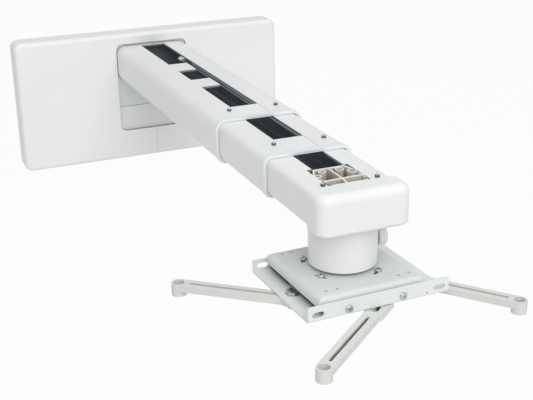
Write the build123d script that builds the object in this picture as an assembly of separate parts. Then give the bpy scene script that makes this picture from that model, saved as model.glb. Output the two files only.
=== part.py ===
from build123d import *
import math
import os

os.makedirs("parts", exist_ok=True)

# Projector wall mount: a telescoping arm on a wall plate, with a swivel column,
# a levelling head and four slotted spider arms. Millimetres, +Z up.
# The origin is the centre of the wall plate's back face. The arm reaches along -Y.

# Cover and wall plate
COVER_WIDTH = 464.0
COVER_HEIGHT = 220.0
COVER_DEPTH = 40.0
COVER_WALL = 2.5
COVER_CORNER = 7.0
COVER_EDGE = 2.5
CUT_HALF_WIDTH = 62.0
CUT_BOTTOM = -59.5
CUT_TOP = 93.0
CUT_CORNER = 6.0
PANEL_SEAM = -14.0
PANEL_WALL = 2.5
PANEL_RECESS = 4.0
PLATE_WIDTH = 440.0
PLATE_HEIGHT = 196.0
PLATE_WALL = 4.0
PLATE_RIM = 14.0
PLATE_RIM_WALL = 3.0
WALL_HOLE_SPAN_X = 400.0
WALL_HOLE_SPAN_Z = 150.0
WALL_HOLE_R = 4.5
POST_R = 5.0
POST_SPAN_X = 400.0
POST_SPAN_Z = 112.0

# Arm flange behind the cover
FLANGE_WIDTH = 176.0
FLANGE_HEIGHT = 92.0
FLANGE_WALL = 8.0
FLANGE_BOLT_SPAN_X = 148.0
FLANGE_BOLT_SPAN_Z = 60.0
FLANGE_BOLT_R = 5.0
FLANGE_BOLT_FLATS = 16.0
FLANGE_BOLT_HEAD = 6.4

# Telescoping tubes: distances along the arm are measured from the wall
ARM_Z = 60.0
OUTER_HALF_X = 61.0
OUTER_HALF_Z = 29.3
OUTER_CORNER = 14.0
TUBE_WALL = 3.0
TUBE_GAP = 0.65
SLOT_HALF = 20.2
SLIT_LEFT = 9.2
OUTER_MOUTH = 519.0
OUTER_WINDOWS = ((48.3, 199.5), (250.7, 305.7), (352.8, 467.0))
OUTER_SLOT_END = 515.0
MIDDLE_BACK = 192.0
MIDDLE_MOUTH = 677.0
MIDDLE_SLOT_BACK = 214.0
MIDDLE_SLOT_KEY = 614.0
MIDDLE_SLOT_END = 657.0
INNER_BACK = 412.0
INNER_SLOT_BACK = 430.0
INNER_SLOT_END = 725.5
INNER_FRONT = 804.5
COLLAR_OUTER_LENGTH = 8.0
COLLAR_MIDDLE_LENGTH = 10.0
COLLAR_PROUD = 1.0
COLLAR_CLEAR = 0.3
LOCK_SCREW_R = 4.3
LOCK_SCREW_X = 33.7
OUTER_SCREW_AT = 484.0
MIDDLE_SCREW_AT = 633.5
HEAD_SCREW_AT = 777.6
SCREW_SOCKET_R = 2.0
SCREW_RECESS = 0.5

# Stop rod and nut
ROD_R = 1.6
ROD_X = 14.7
NUT_R = 5.0
NUT_BACK = 153.0
NUT_LENGTH = 14.0

# Head casting in the front of the inner tube
WINDOW_LEFT = -27.4
WINDOW_RIGHT = 25.5
WINDOW_BACK = 724.0
WINDOW_FRONT = 782.0
CAST_BACK = 718.0
CAST_FRONT = 802.0
CAST_DRAFT = 7.0
CAST_DEPTH = 25.0
CAST_RIB_X = 2.5
CAST_RIB_TURN = 4.0
CAST_RIB_WALL = 3.2
CAST_CROSS_AT = 755.0
CAST_RIM = 3.0

# End cap
CAP_HALF_X = 57.5
CAP_BOTTOM = 32.9
CAP_TOP = 85.0
CAP_BACK = 783.0
CAP_FRONT = 819.0
CAP_CORNER = 22.0
CAP_EDGE = 5.0
CAP_HOLLOW_FRONT = 814.0

# Column, spindle and lock knob
COLUMN_AT = 764.4
COLUMN_R = 40.0
COLUMN_BORE_R = 34.0
COLUMN_BOTTOM = -18.4
SPINDLE_CLEAR = 0.3
SPINDLE_TOP = 30.0
SPINDLE_BORE_R = 26.0
KNOB_Z = 3.0
KNOB_R = 10.5
KNOB_BACK = 48.0
KNOB_FRONT = 60.0
KNOB_FLUTES = 20
STUD_R = 4.0
STUD_CLEAR = 0.05

# Upper plate, local to the column axis
HEAD_YAW = 1.7
TOP_Z = -22.5
SHEET = 2.5
TOP_LEFT = -79.0
TOP_RIGHT = 78.0
TOP_FRONT = -71.5
TOP_BACK = 64.0
SIDE_FOLD = 12.5
END_FOLD = 5.5
SIDE_SKIRT_BOTTOM = -35.0
END_SKIRT_BOTTOM = -30.5
NECK_CLEAR = 0.3
ARC_R = 45.5
ARC_HALF_WIDTH = 2.4
ARC_CENTRES = (142.0, 208.5, 301.5)
ARC_SCREW_TURNS = (0.0, 1.5, 2.5)
ARC_HALF_TURN = 8.0
TRIM_HOLE_R = 1.6
TRIM_HOLE_X = (39.0, 52.5)
TRIM_HOLE_Y = (-57.0, 50.0)
FLANGE_DISC_R = 52.0
FLANGE_DISC_WALL = 6.0

# Yoke and pitch pins
PITCH_Z = -34.0
PIN_R = 3.0
PIN_CLEAR = 0.05
LUG_X = 57.0
LUG_WALL = 3.0
LUG_HALF = 8.0
EAR_WALL = 3.0
EAR_GAP = 0.4
YOKE_TOP = -36.0
YOKE_WALL = 2.5
YOKE_FRONT = -73.3
YOKE_BACK = 66.7
YOKE_HALF_X = 52.0
YOKE_TAB_HALF = 8.0
YOKE_TAB_BOTTOM = -42.3

# Tray
TRAY_X = 6.0
TRAY_Y = -3.3
TRAY_HALF_X = 89.0
TRAY_HALF_Y = 72.9
TRAY_BOTTOM = -46.55
TRAY_FRONT_TOP = -28.35
TRAY_BACK_TOP = -31.0
TRAY_FOLD = 2.5
ROLL_X = 1.15
SCREW_SPREAD = 34.15
TRAY_SCREW_Z = -39.0
TRAY_SCREW_R = 2.0
TRAY_SLOT_RISE = 1.6
END_SLOT_HALF = 3.5
END_SLOT_LENGTH = 15.0
END_SLOT_AT = 76.5
END_SLOT_Z = -38.5

# Spider arms
BAR_WIDTH = 18.0
BAR_HEIGHT = 8.2
ARM_DROP = 0.35
TIP_R = 9.0
TIP_HEIGHT = 15.0
TIP_RECESS_R = 6.5
TIP_RECESS = 11.0
TIP_BORE_R = 2.75
SLOT_WIDTH = 5.0
BAR_SLOT_START = 12.0
BAR_SLOT_END = 122.0
HUB_START = 126.0
HUB_END = 169.0
HUB_WIDTH = 30.0
HUB_CORNER = 5.0
HUB_SLOT_WIDTH = 8.4
HUB_SLOT_START = 133.5
HUB_SLOT_END = 161.5
PIVOT_R = 3.0
BUSH_R = 4.0
BUSH_CLEAR = 0.05
WASHER_R = 9.0
WASHER_WALL = 2.0
PIVOT_NUT_FLATS = 13.0
PIVOT_NUT_FLANGE_R = 8.0
PIVOT_NUT_HEIGHT = 4.2
# Each arm: direction from its pivot to its tip, and the pivot's distance from the tip hole
ARMS = {
    "left": (-67.8, -7.6, 138.2, 138.0),
    "front": (15.5, -64.5, 220.2, 157.0),
    "right": (68.5, -9.3, -54.2, 147.0),
    "rear": (-5.0, 57.4, 55.0, 147.0),
}


def save(solid, name):
    """Write one sub-part."""
    solid.label = name
    export_step(solid, f"parts/{name}.step")


def block(x0, x1, reach0, reach1, z0, z1):
    """A box between two sides, two distances from the wall and two heights."""
    centre = ((x0 + x1) / 2, -(reach0 + reach1) / 2, (z0 + z1) / 2)
    return Pos(*centre) * Box(x1 - x0, reach1 - reach0, z1 - z0)


def along_arm(sketch, reach, length, height=ARM_Z):
    """Extrude an upright section away from the wall."""
    return extrude(Plane.XZ.offset(reach) * Pos(0, height) * sketch, amount=length)


def tube_section(step, wall_inside=0.0, grow=0.0):
    """Rounded rectangle of the nth tube, counted from the outer one."""
    inset = step * (TUBE_WALL + TUBE_GAP) + wall_inside - grow
    radius = max(OUTER_CORNER - inset, 1.5)
    return RectangleRounded(2 * (OUTER_HALF_X - inset), 2 * (OUTER_HALF_Z - inset), radius)


def upright(radius, z0, z1, x=0.0, y=0.0):
    """A vertical cylinder between two heights."""
    return Pos(x, y, (z0 + z1) / 2) * Cylinder(radius, z1 - z0)


def tube_top(step):
    return ARM_Z + OUTER_HALF_Z - step * (TUBE_WALL + TUBE_GAP)


def telescope_tube(step, back, front, slot_back, slot_front):
    """A rectangular tube with one long slot in its top wall."""
    tube = along_arm(tube_section(step) - tube_section(step, TUBE_WALL), back, front - back)
    top = tube_top(step)
    slot = block(-SLOT_HALF, SLOT_HALF, slot_back, slot_front, top - TUBE_WALL - 1, top + 1)
    return tube - slot


def screw_holes(step, reach):
    top = tube_top(step)
    return [
        upright(LOCK_SCREW_R, top - TUBE_WALL - 1, top + 1, side * LOCK_SCREW_X, -reach)
        for side in (-1, 1)
    ]


def lock_screws(step, reach, proud=0.0):
    """Two socket set screws in a tube's top wall, each with a raised crown."""
    top = tube_top(step)
    screws = []
    for side in (-1, 1):
        x = side * LOCK_SCREW_X
        shank = upright(LOCK_SCREW_R, top - TUBE_WALL, top - SCREW_RECESS + proud, x, -reach)
        crown_r = LOCK_SCREW_R - 1.2
        crown = upright(crown_r, top - SCREW_RECESS + proud, top + proud, x, -reach)
        socket = Plane.XY.offset(top - 2.2) * Pos(x, -reach) * RegularPolygon(SCREW_SOCKET_R, 6)
        screws.append(shank + crown - extrude(socket, amount=3 + proud))
    return Compound(children=screws)


def collar(step, mouth, length):
    """Slip ring on a tube's mouth, which guides the next tube."""
    bore_inset = TUBE_WALL + TUBE_GAP - COLLAR_CLEAR
    ring = tube_section(step, 0.0, COLLAR_PROUD) - tube_section(step, bore_inset)
    return along_arm(ring, mouth, length)


def slot_key(step, reach0, reach1):
    """Plate that closes a slot's front end, flush with the tube's wall."""
    top = tube_top(step)
    return block(-SLOT_HALF, SLOT_HALF, reach0, reach1, top - TUBE_WALL, top)


def wall_plate():
    plate = block(-PLATE_WIDTH / 2, PLATE_WIDTH / 2, 0, PLATE_WALL, -PLATE_HEIGHT / 2, PLATE_HEIGHT / 2)
    for side in (-1, 1):
        edge = side * PLATE_HEIGHT / 2
        low, high = sorted((edge, edge - side * PLATE_RIM_WALL))
        plate += block(-PLATE_WIDTH / 2, PLATE_WIDTH / 2, PLATE_WALL, PLATE_RIM, low, high)
    holes = GridLocations(WALL_HOLE_SPAN_X, WALL_HOLE_SPAN_Z, 2, 2) * Circle(WALL_HOLE_R)
    bolts = GridLocations(FLANGE_BOLT_SPAN_X, FLANGE_BOLT_SPAN_Z, 2, 2) * Circle(FLANGE_BOLT_R)
    plate -= extrude(Plane.XZ * Sketch(children=holes), amount=PLATE_WALL)
    plate -= extrude(Plane.XZ * Pos(0, ARM_Z - 18) * Sketch(children=bolts), amount=PLATE_WALL)
    return plate


def flange_centre():
    return ARM_Z - 18


def arm_flange():
    face = RectangleRounded(FLANGE_WIDTH, FLANGE_HEIGHT, 8)
    for spot in GridLocations(FLANGE_BOLT_SPAN_X, FLANGE_BOLT_SPAN_Z, 2, 2):
        face -= spot * Circle(FLANGE_BOLT_R)
    return along_arm(face, PLATE_WALL, FLANGE_WALL, flange_centre())


def flange_bolts():
    bolts = []
    for spot in GridLocations(FLANGE_BOLT_SPAN_X, FLANGE_BOLT_SPAN_Z, 2, 2):
        shank = along_arm(spot * Circle(FLANGE_BOLT_R), 0, PLATE_WALL + FLANGE_WALL, flange_centre())
        hexagon = spot * RegularPolygon(FLANGE_BOLT_FLATS / 2, 6, major_radius=False)
        head = along_arm(hexagon, PLATE_WALL + FLANGE_WALL, FLANGE_BOLT_HEAD, flange_centre())
        bolts.append(shank + head)
    return Compound(children=bolts)


def cover_posts():
    posts = []
    for spot in GridLocations(POST_SPAN_X, POST_SPAN_Z, 2, 2):
        length = COVER_DEPTH - COVER_WALL - PLATE_WALL
        posts.append(along_arm(spot * Circle(POST_R), PLATE_WALL, length, 0))
    return Compound(children=posts)


def wall_cover():
    """Deep moulded cover with rounded front edges and a cut-out for the arm."""
    outline = RectangleRounded(COVER_WIDTH, COVER_HEIGHT, COVER_CORNER)
    shell = along_arm(outline, 0, COVER_DEPTH, 0)
    front_edges = shell.faces().sort_by(Axis.Y)[0].edges()
    shell = fillet(front_edges, COVER_EDGE)
    hollow = RectangleRounded(
        COVER_WIDTH - 2 * COVER_WALL, COVER_HEIGHT - 2 * COVER_WALL, COVER_CORNER - COVER_WALL
    )
    shell -= along_arm(hollow, 0, COVER_DEPTH - COVER_WALL, 0)
    opening = RectangleRounded(2 * CUT_HALF_WIDTH, CUT_TOP - CUT_BOTTOM, CUT_CORNER)
    middle = (CUT_TOP + CUT_BOTTOM) / 2
    collar_ring = RectangleRounded(
        2 * (CUT_HALF_WIDTH + COVER_WALL), CUT_TOP - CUT_BOTTOM + 2 * COVER_WALL, CUT_CORNER + COVER_WALL
    )
    shell += along_arm(collar_ring, COVER_DEPTH - 12, 12 - COVER_WALL, middle)
    return shell - along_arm(opening, 0, COVER_DEPTH, middle)


def panel(low, high):
    """Flat insert across the cut-out, held between the cover's inner walls."""
    face = Rectangle(2 * CUT_HALF_WIDTH, high - low)
    if low == CUT_BOTTOM:
        face = fillet(face.vertices().group_by(Axis.Y)[0], CUT_CORNER)
    return along_arm(face, COVER_DEPTH - PANEL_RECESS - PANEL_WALL, PANEL_WALL, (low + high) / 2)


def outer_tube():
    tube = telescope_tube(0, PLATE_WALL + FLANGE_WALL, OUTER_MOUTH, OUTER_WINDOWS[0][0], OUTER_SLOT_END)
    top = tube_top(0)
    for (_, before), (after, _) in zip(OUTER_WINDOWS, OUTER_WINDOWS[1:]):
        tube += block(-SLOT_HALF, SLIT_LEFT, before, after, top - TUBE_WALL, top)
    for hole in screw_holes(0, OUTER_SCREW_AT):
        tube -= hole
    return tube


def middle_tube():
    tube = telescope_tube(1, MIDDLE_BACK, MIDDLE_MOUTH, MIDDLE_SLOT_BACK, MIDDLE_SLOT_END)
    top = tube_top(1)
    groove_half = ROD_R + 0.9
    tube -= block(
        ROD_X - groove_half, ROD_X + groove_half, MIDDLE_BACK, MIDDLE_SLOT_BACK, top - TUBE_WALL - 1, top + 1
    )
    for hole in screw_holes(1, MIDDLE_SCREW_AT):
        tube -= hole
    return tube


def rod_height():
    return tube_top(1) - TUBE_WALL / 2


def stop_rod():
    reach = NUT_BACK - 6
    return along_arm(Pos(ROD_X, 0) * Circle(ROD_R), reach, MIDDLE_SLOT_KEY - reach, rod_height())


def stop_nut():
    section = Pos(ROD_X, 0) * (Circle(NUT_R) - Circle(ROD_R))
    nut = along_arm(section, NUT_BACK, NUT_LENGTH, rod_height())
    rims = nut.edges().filter_by(GeomType.CIRCLE).group_by(SortBy.RADIUS)[-1]
    return chamfer(rims, 0.8)


def inner_tube():
    tube = telescope_tube(2, INNER_BACK, INNER_FRONT, INNER_SLOT_BACK, INNER_SLOT_END)
    top = tube_top(2)
    tube -= block(WINDOW_LEFT, WINDOW_RIGHT, WINDOW_BACK, WINDOW_FRONT, top - TUBE_WALL - 1, top + 1)
    for hole in screw_holes(2, HEAD_SCREW_AT):
        tube -= hole
    bottom = ARM_Z - (tube_top(2) - ARM_Z)
    tube -= upright(12, bottom - 1, bottom + TUBE_WALL + 1, 0, -COLUMN_AT)
    return tube


def cast_pocket(x0, x1, reach0, reach1, top, depth, corner):
    """A drafted pocket that narrows downwards."""
    mouth = Pos((x0 + x1) / 2, -(reach0 + reach1) / 2) * RectangleRounded(x1 - x0, reach1 - reach0, corner)
    return extrude(Plane.XY.offset(top) * mouth, amount=-depth, taper=CAST_DRAFT)


def head_casting():
    """Ribbed casting that fills the arm's end and carries the column."""
    body = along_arm(tube_section(2, TUBE_WALL), CAST_BACK, CAST_FRONT - CAST_BACK)
    top = tube_top(2) - TUBE_WALL
    left = WINDOW_LEFT + CAST_RIM
    right = WINDOW_RIGHT - CAST_RIM
    back = WINDOW_BACK + CAST_RIM
    front = WINDOW_FRONT - CAST_RIM
    half = CAST_RIB_WALL / 2
    pockets = (
        (left, CAST_RIB_X - half, back, CAST_CROSS_AT - half, CAST_DEPTH),
        (CAST_RIB_X + half, right, back, CAST_CROSS_AT - half, CAST_DEPTH),
        (left, CAST_RIB_X - half, CAST_CROSS_AT + half, front, CAST_DEPTH - 4),
        (CAST_RIB_X + half, right, CAST_CROSS_AT + half, front, CAST_DEPTH - 4),
    )
    for x0, x1, reach0, reach1, depth in pockets:
        body -= cast_pocket(x0, x1, reach0, reach1, top, depth, 3.0)
    bosses = ((-11.0, 728.5, 4.0, 2.0), (-19.6, 739.0, 4.2, 2.2), (13.0, 728.5, 4.0, 2.0), (20.0, 738.0, 5.2, 3.0))
    for x, reach, boss_r, hole_r in bosses:
        body += upright(boss_r, top - CAST_DEPTH - 1, top - 1.5, x, -reach)
    for x, reach, boss_r, hole_r in bosses:
        body -= upright(hole_r, top - 16, top, x, -reach)
    for side in (-1, 1):
        body -= upright(LOCK_SCREW_R, top - 8, top, side * LOCK_SCREW_X, -HEAD_SCREW_AT)
    return body


def end_cap():
    """Notched hood over the arm's end, round the column."""
    plan = Pos(0, -(CAP_BACK + CAP_FRONT) / 2) * Rectangle(2 * CAP_HALF_X, CAP_FRONT - CAP_BACK)
    plan = fillet(plan.vertices().group_by(Axis.Y)[0], CAP_CORNER)
    hood = extrude(Plane.XY.offset(CAP_BOTTOM) * plan, amount=CAP_TOP - CAP_BOTTOM)
    rims = hood.edges().group_by(Axis.Z)
    kept = [
        edge
        for edge in list(rims[0]) + list(rims[-1])
        if edge.center().Y < -CAP_BACK - 1
    ]
    hood = fillet(kept, CAP_EDGE)
    hood -= along_arm(tube_section(2), CAP_BACK - 1, INNER_FRONT - CAP_BACK + 1)
    hollow = RectangleRounded(2 * (CAP_HALF_X - CAP_CORNER), 2 * (CAP_HALF_X - CAP_CORNER) * 0.42, 3)
    hood -= along_arm(hollow, INNER_FRONT, CAP_HOLLOW_FRONT - INNER_FRONT)
    bottom = 2 * ARM_Z - tube_top(2)
    return hood - upright(COLUMN_R, CAP_BOTTOM - 1, bottom, 0, -COLUMN_AT)


def head_screws():
    """Two screws that hold the casting, with their heads half under the cap."""
    top = tube_top(2)
    screws = []
    for side in (-1, 1):
        x = side * LOCK_SCREW_X
        shank = upright(LOCK_SCREW_R, top - TUBE_WALL - 8, top - SCREW_RECESS, x, -HEAD_SCREW_AT)
        socket = Plane.XY.offset(top - 3) * Pos(x, -HEAD_SCREW_AT) * RegularPolygon(SCREW_SOCKET_R, 6)
        screws.append(shank - extrude(socket, amount=3))
    return Compound(children=screws)


def column():
    """Turned sleeve under the arm's end, with a cross bore for the lock stud."""
    bottom = 2 * ARM_Z - tube_top(2)
    sleeve = upright(COLUMN_R, COLUMN_BOTTOM, bottom)
    sleeve = chamfer(sleeve.edges().group_by(Axis.Z)[0], 0.8)
    sleeve -= upright(COLUMN_BORE_R, COLUMN_BOTTOM, bottom - 5)
    sleeve -= Pos(COLUMN_R, 0, KNOB_Z) * Rot(0, 90, 0) * Cylinder(STUD_R + STUD_CLEAR, 24)
    return Pos(0, -COLUMN_AT, 0) * sleeve


def spindle():
    """Turned post that swivels in the column, with a disc under the upper plate."""
    radius = COLUMN_BORE_R - SPINDLE_CLEAR
    post = upright(radius, TOP_Z - SHEET, SPINDLE_TOP)
    post = chamfer(post.edges().group_by(Axis.Z)[-1], 1.5)
    disc = upright(FLANGE_DISC_R, TOP_Z - SHEET - FLANGE_DISC_WALL, TOP_Z - SHEET)
    bore = upright(SPINDLE_BORE_R, TOP_Z - SHEET - FLANGE_DISC_WALL, SPINDLE_TOP - 8)
    turned = post + disc - bore
    for centre, turn in zip(ARC_CENTRES, ARC_SCREW_TURNS):
        angle = math.radians(centre + turn)
        x, y = ARC_R * math.cos(angle), ARC_R * math.sin(angle)
        turned -= upright(ARC_HALF_WIDTH - 0.2, TOP_Z - SHEET - FLANGE_DISC_WALL, TOP_Z - SHEET, x, y)
    return turned


def arc_screws():
    screws = []
    for centre, turn in zip(ARC_CENTRES, ARC_SCREW_TURNS):
        angle = math.radians(centre + turn)
        x, y = ARC_R * math.cos(angle), ARC_R * math.sin(angle)
        radius = ARC_HALF_WIDTH - 0.2
        shank = upright(radius, TOP_Z - SHEET - FLANGE_DISC_WALL, TOP_Z + 0.3, x, y)
        head = upright(4.2, TOP_Z + 0.3, TOP_Z + 3.0, x, y)
        head = fillet(head.edges().group_by(Axis.Z)[-1], 0.9)
        socket = Plane.XY.offset(TOP_Z + 1.2) * Pos(x, y) * RegularPolygon(1.7, 6)
        screws.append(shank + head - extrude(socket, amount=3))
    return Compound(children=screws)


def lock_knob():
    """Fluted knob, turned about X and hollowed for its stud."""
    length = KNOB_FRONT - KNOB_BACK
    knob = Cylinder(KNOB_R, length)
    knob = chamfer(knob.edges().group_by(Axis.Z)[-1], 1.4)
    knob = chamfer(knob.edges().group_by(Axis.Z)[0], 0.8)
    for spot in PolarLocations(KNOB_R + 0.35, KNOB_FLUTES):
        knob -= spot * Cylinder(0.9, length)
    knob -= Pos(0, 0, -length / 2 + 4) * Cylinder(STUD_R, 8)
    return Pos((KNOB_BACK + KNOB_FRONT) / 2, 0, KNOB_Z) * Rot(0, 90, 0) * knob


def lock_stud():
    inner = COLUMN_BORE_R + 0.2
    length = KNOB_BACK + 8 - inner
    stud = Cylinder(STUD_R, length)
    return Pos(inner + length / 2, 0, KNOB_Z) * Rot(0, 90, 0) * stud


def fold_profile(low, high, bottom, radius, inset):
    """Upside-down U of one folded sheet, inset for its inner face."""
    wide = high - low - 2 * inset
    tall = TOP_Z - bottom - inset + (1 if inset else 0)
    face = Rectangle(wide, tall)
    face = fillet(face.vertices().group_by(Axis.Y)[-1], max(radius - inset, 0.6))
    return Pos((low + high) / 2, bottom + tall / 2 - (1 if inset else 0)) * face


def pan_solid(inset):
    """Intersection of the side fold and the end fold."""
    sides = fold_profile(TOP_LEFT, TOP_RIGHT, SIDE_SKIRT_BOTTOM, SIDE_FOLD, inset)
    ends = fold_profile(TOP_FRONT, TOP_BACK, SIDE_SKIRT_BOTTOM, END_FOLD, inset)
    across = extrude(Plane.XZ.offset(-100) * sides, amount=200)
    along = extrude(Plane.YZ.offset(-100) * ends, amount=200)
    return across & along


def upper_plate():
    """Folded sheet with large side folds, arc slots and two pitch lugs."""
    pan = pan_solid(0.0) - pan_solid(SHEET)
    for y0, y1 in ((TOP_FRONT - 1, TOP_FRONT + SHEET + 0.5), (TOP_BACK - SHEET - 0.5, TOP_BACK + 1)):
        trim = Pos(0, (y0 + y1) / 2, (SIDE_SKIRT_BOTTOM + END_SKIRT_BOTTOM) / 2 - 0.5)
        inside_x = TOP_RIGHT - TOP_LEFT - 2 * SIDE_FOLD
        pan -= trim * Box(inside_x, y1 - y0, END_SKIRT_BOTTOM - SIDE_SKIRT_BOTTOM + 1)
    pan -= upright(COLUMN_BORE_R - SPINDLE_CLEAR + NECK_CLEAR, TOP_Z - SHEET, TOP_Z)
    for centre in ARC_CENTRES:
        middle = CenterArc((0, 0), ARC_R, centre - ARC_HALF_TURN, 2 * ARC_HALF_TURN)
        slot = SlotArc(middle, 2 * ARC_HALF_WIDTH)
        pan -= extrude(Plane.XY.offset(TOP_Z - SHEET) * slot, amount=SHEET)
    for x in TRIM_HOLE_X:
        for side in (-1, 1):
            for y in TRIM_HOLE_Y:
                pan -= upright(TRIM_HOLE_R, TOP_Z - SHEET, TOP_Z, side * x, y)
    lug = Rectangle(2 * LUG_HALF, TOP_Z - SHEET - PITCH_Z)
    lug = Pos(0, (TOP_Z - SHEET + PITCH_Z) / 2) * lug + Pos(0, PITCH_Z) * Circle(LUG_HALF * 0.75)
    lug -= Pos(0, PITCH_Z) * Circle(PIN_R)
    for side in (-1, 1):
        start = side * LUG_X if side > 0 else side * LUG_X - LUG_WALL
        pan += extrude(Plane.YZ.offset(start) * lug, amount=LUG_WALL)
    return pan


def pitch_pins():
    pins = []
    for side in (-1, 1):
        inner = LUG_X - EAR_GAP - EAR_WALL - 0.5
        outer = LUG_X + LUG_WALL
        pins.append(
            Pos(side * (inner + outer) / 2, 0, PITCH_Z) * Rot(0, 90, 0) * Cylinder(PIN_R, outer - inner)
        )
    return Compound(children=pins)


def yoke():
    """Black folded bracket: ears on the pitch pins, tabs on the tray screws."""
    length = YOKE_BACK - YOKE_FRONT
    middle = (YOKE_BACK + YOKE_FRONT) / 2
    web = Pos(0, middle, YOKE_TOP - YOKE_WALL / 2) * Box(2 * YOKE_HALF_X, length, YOKE_WALL)
    web -= Pos(0, middle, YOKE_TOP - YOKE_WALL / 2) * Box(56, length - 40, YOKE_WALL)
    bracket = web
    ear = Pos(0, (PITCH_Z + YOKE_TOP - YOKE_WALL) / 2) * Rectangle(2 * LUG_HALF, PITCH_Z - YOKE_TOP + YOKE_WALL)
    ear += Pos(0, PITCH_Z) * Circle(LUG_HALF * 0.6)
    for side in (-1, 1):
        outer = LUG_X - EAR_GAP
        start = side * outer - (EAR_WALL if side > 0 else 0)
        bracket += extrude(Plane.YZ.offset(start) * ear, amount=EAR_WALL)
        reach = outer - YOKE_HALF_X + 2
        centre = side * (YOKE_HALF_X - 1 + reach / 2 - 1)
        bracket += Pos(centre, 0, YOKE_TOP - YOKE_WALL / 2) * Box(reach, 2 * LUG_HALF, YOKE_WALL)
        drill = Cylinder(PIN_R + PIN_CLEAR, 2 * EAR_WALL + 2)
        bracket -= Pos(side * (outer - EAR_WALL), 0, PITCH_Z) * Rot(0, 90, 0) * drill
    for side in (-1, 1):
        x = ROLL_X + side * SCREW_SPREAD
        for y in (YOKE_FRONT + SHEET / 2, YOKE_BACK - SHEET / 2):
            height = YOKE_TOP - YOKE_TAB_BOTTOM
            tab = Pos(x, y, (YOKE_TOP + YOKE_TAB_BOTTOM) / 2) * Box(2 * YOKE_TAB_HALF - 7, SHEET, height)
            drill = Pos(x, y, TRAY_SCREW_Z) * Rot(90, 0, 0) * Cylinder(TRAY_SCREW_R, SHEET)
            bracket = bracket + tab - drill
    return bracket


def tray_y(side):
    return TRAY_Y + side * TRAY_HALF_Y


def tray():
    """Folded tray: floor, front flange and lower back flange with end slots."""
    tall = TRAY_FRONT_TOP - TRAY_BOTTOM
    outer = Pos(TRAY_Y, TRAY_BOTTOM + tall / 2) * Rectangle(2 * TRAY_HALF_Y, tall)
    outer = fillet(outer.vertices().group_by(Axis.Y)[0], TRAY_FOLD + 0.3)
    inner = Pos(TRAY_Y, TRAY_BOTTOM + SHEET + tall / 2)
    inner *= Rectangle(2 * (TRAY_HALF_Y - SHEET), tall)
    profile = outer - inner
    profile -= Pos(tray_y(1), TRAY_BACK_TOP + 5) * Rectangle(3 * SHEET, 10)
    sheet = extrude(Plane.YZ.offset(TRAY_X - TRAY_HALF_X) * profile, amount=2 * TRAY_HALF_X)
    for side in (-1, 1):
        y = tray_y(side)
        for end in (-1, 1):
            slot = SlotOverall(END_SLOT_LENGTH, 2 * END_SLOT_HALF)
            plane = Plane.XZ.offset(-y - 4)
            spot = Pos(TRAY_X + end * END_SLOT_AT, END_SLOT_Z)
            sheet -= extrude(plane * spot * slot, amount=8)
            slit = Pos(ROLL_X + end * SCREW_SPREAD, TRAY_SCREW_Z) * Rot(0, 0, 90)
            slit *= SlotOverall(2 * (TRAY_SLOT_RISE + TRAY_SCREW_R + 0.1), 2 * (TRAY_SCREW_R + 0.15))
            sheet -= extrude(plane * slit, amount=8)
    dot = Pos(TRAY_X + 60.6, 0, 0) * Pos(0, tray_y(-1), -42.0) * Rot(90, 0, 0) * Cylinder(1.2, 8)
    sheet -= dot
    for x, y, _, _ in ARMS.values():
        sheet -= upright(PIVOT_R, TRAY_BOTTOM, TRAY_BOTTOM + SHEET, x, y)
    return sheet


def tray_screws(side):
    """Two pan-head screws through the flange's slots into the yoke's tabs."""
    y_out = tray_y(side) + side * 0.3
    y_in = YOKE_FRONT + SHEET if side < 0 else YOKE_BACK - SHEET
    screws = []
    for end in (-1, 1):
        x = ROLL_X + end * SCREW_SPREAD
        length = abs(y_out - y_in)
        shank = Pos(x, (y_out + y_in) / 2, TRAY_SCREW_Z) * Rot(90, 0, 0) * Cylinder(TRAY_SCREW_R, length)
        head = Cylinder(4.5, 2.4)
        head = fillet(head.edges().group_by(Axis.Z)[-1], 1.4)
        cross = Pos(0, 0, 0.8) * (Box(4.6, 0.9, 1.6) + Box(0.9, 4.6, 1.6))
        turn = Rot(90, 0, 0) if side < 0 else Rot(-90, 0, 0)
        head = Pos(x, y_out + side * 1.2, TRAY_SCREW_Z) * turn * (head - cross)
        screws.append(shank + head)
    return Compound(children=screws)


def arm_top():
    return TRAY_BOTTOM - ARM_DROP


def spider_arm():
    """Slotted bar along +X from its tip hole, with a boss at the tip and a hub."""
    bar = Pos(HUB_START / 2 + 2, 0) * Rectangle(HUB_START + 4, BAR_WIDTH)
    hub = Pos((HUB_START + HUB_END) / 2, 0) * RectangleRounded(HUB_END - HUB_START, HUB_WIDTH, HUB_CORNER)
    plan = bar + hub + Circle(TIP_R)
    long_slot = Pos((BAR_SLOT_START + BAR_SLOT_END) / 2, 0)
    plan -= long_slot * SlotOverall(BAR_SLOT_END - BAR_SLOT_START, SLOT_WIDTH)
    plan -= Pos(BAR_SLOT_END - 2.5, 0) * Circle(SLOT_WIDTH * 0.7)
    hub_slot = Pos((HUB_SLOT_START + HUB_SLOT_END) / 2, 0)
    plan -= hub_slot * SlotOverall(HUB_SLOT_END - HUB_SLOT_START, HUB_SLOT_WIDTH)
    top = arm_top()
    arm = extrude(Plane.XY.offset(top - BAR_HEIGHT) * plan, amount=BAR_HEIGHT)
    arm += upright(TIP_R, top - TIP_HEIGHT, top)
    arm -= upright(TIP_RECESS_R, top - TIP_RECESS, top)
    return arm - upright(TIP_BORE_R, top - TIP_HEIGHT, top)


def place_arm(solid, values):
    """Set a piece drawn from the tip hole onto its pivot."""
    x, y, toward_tip, distance = values
    return Pos(x, y, 0) * Rot(0, 0, toward_tip + 180) * Pos(-distance, 0, 0) * solid


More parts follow.
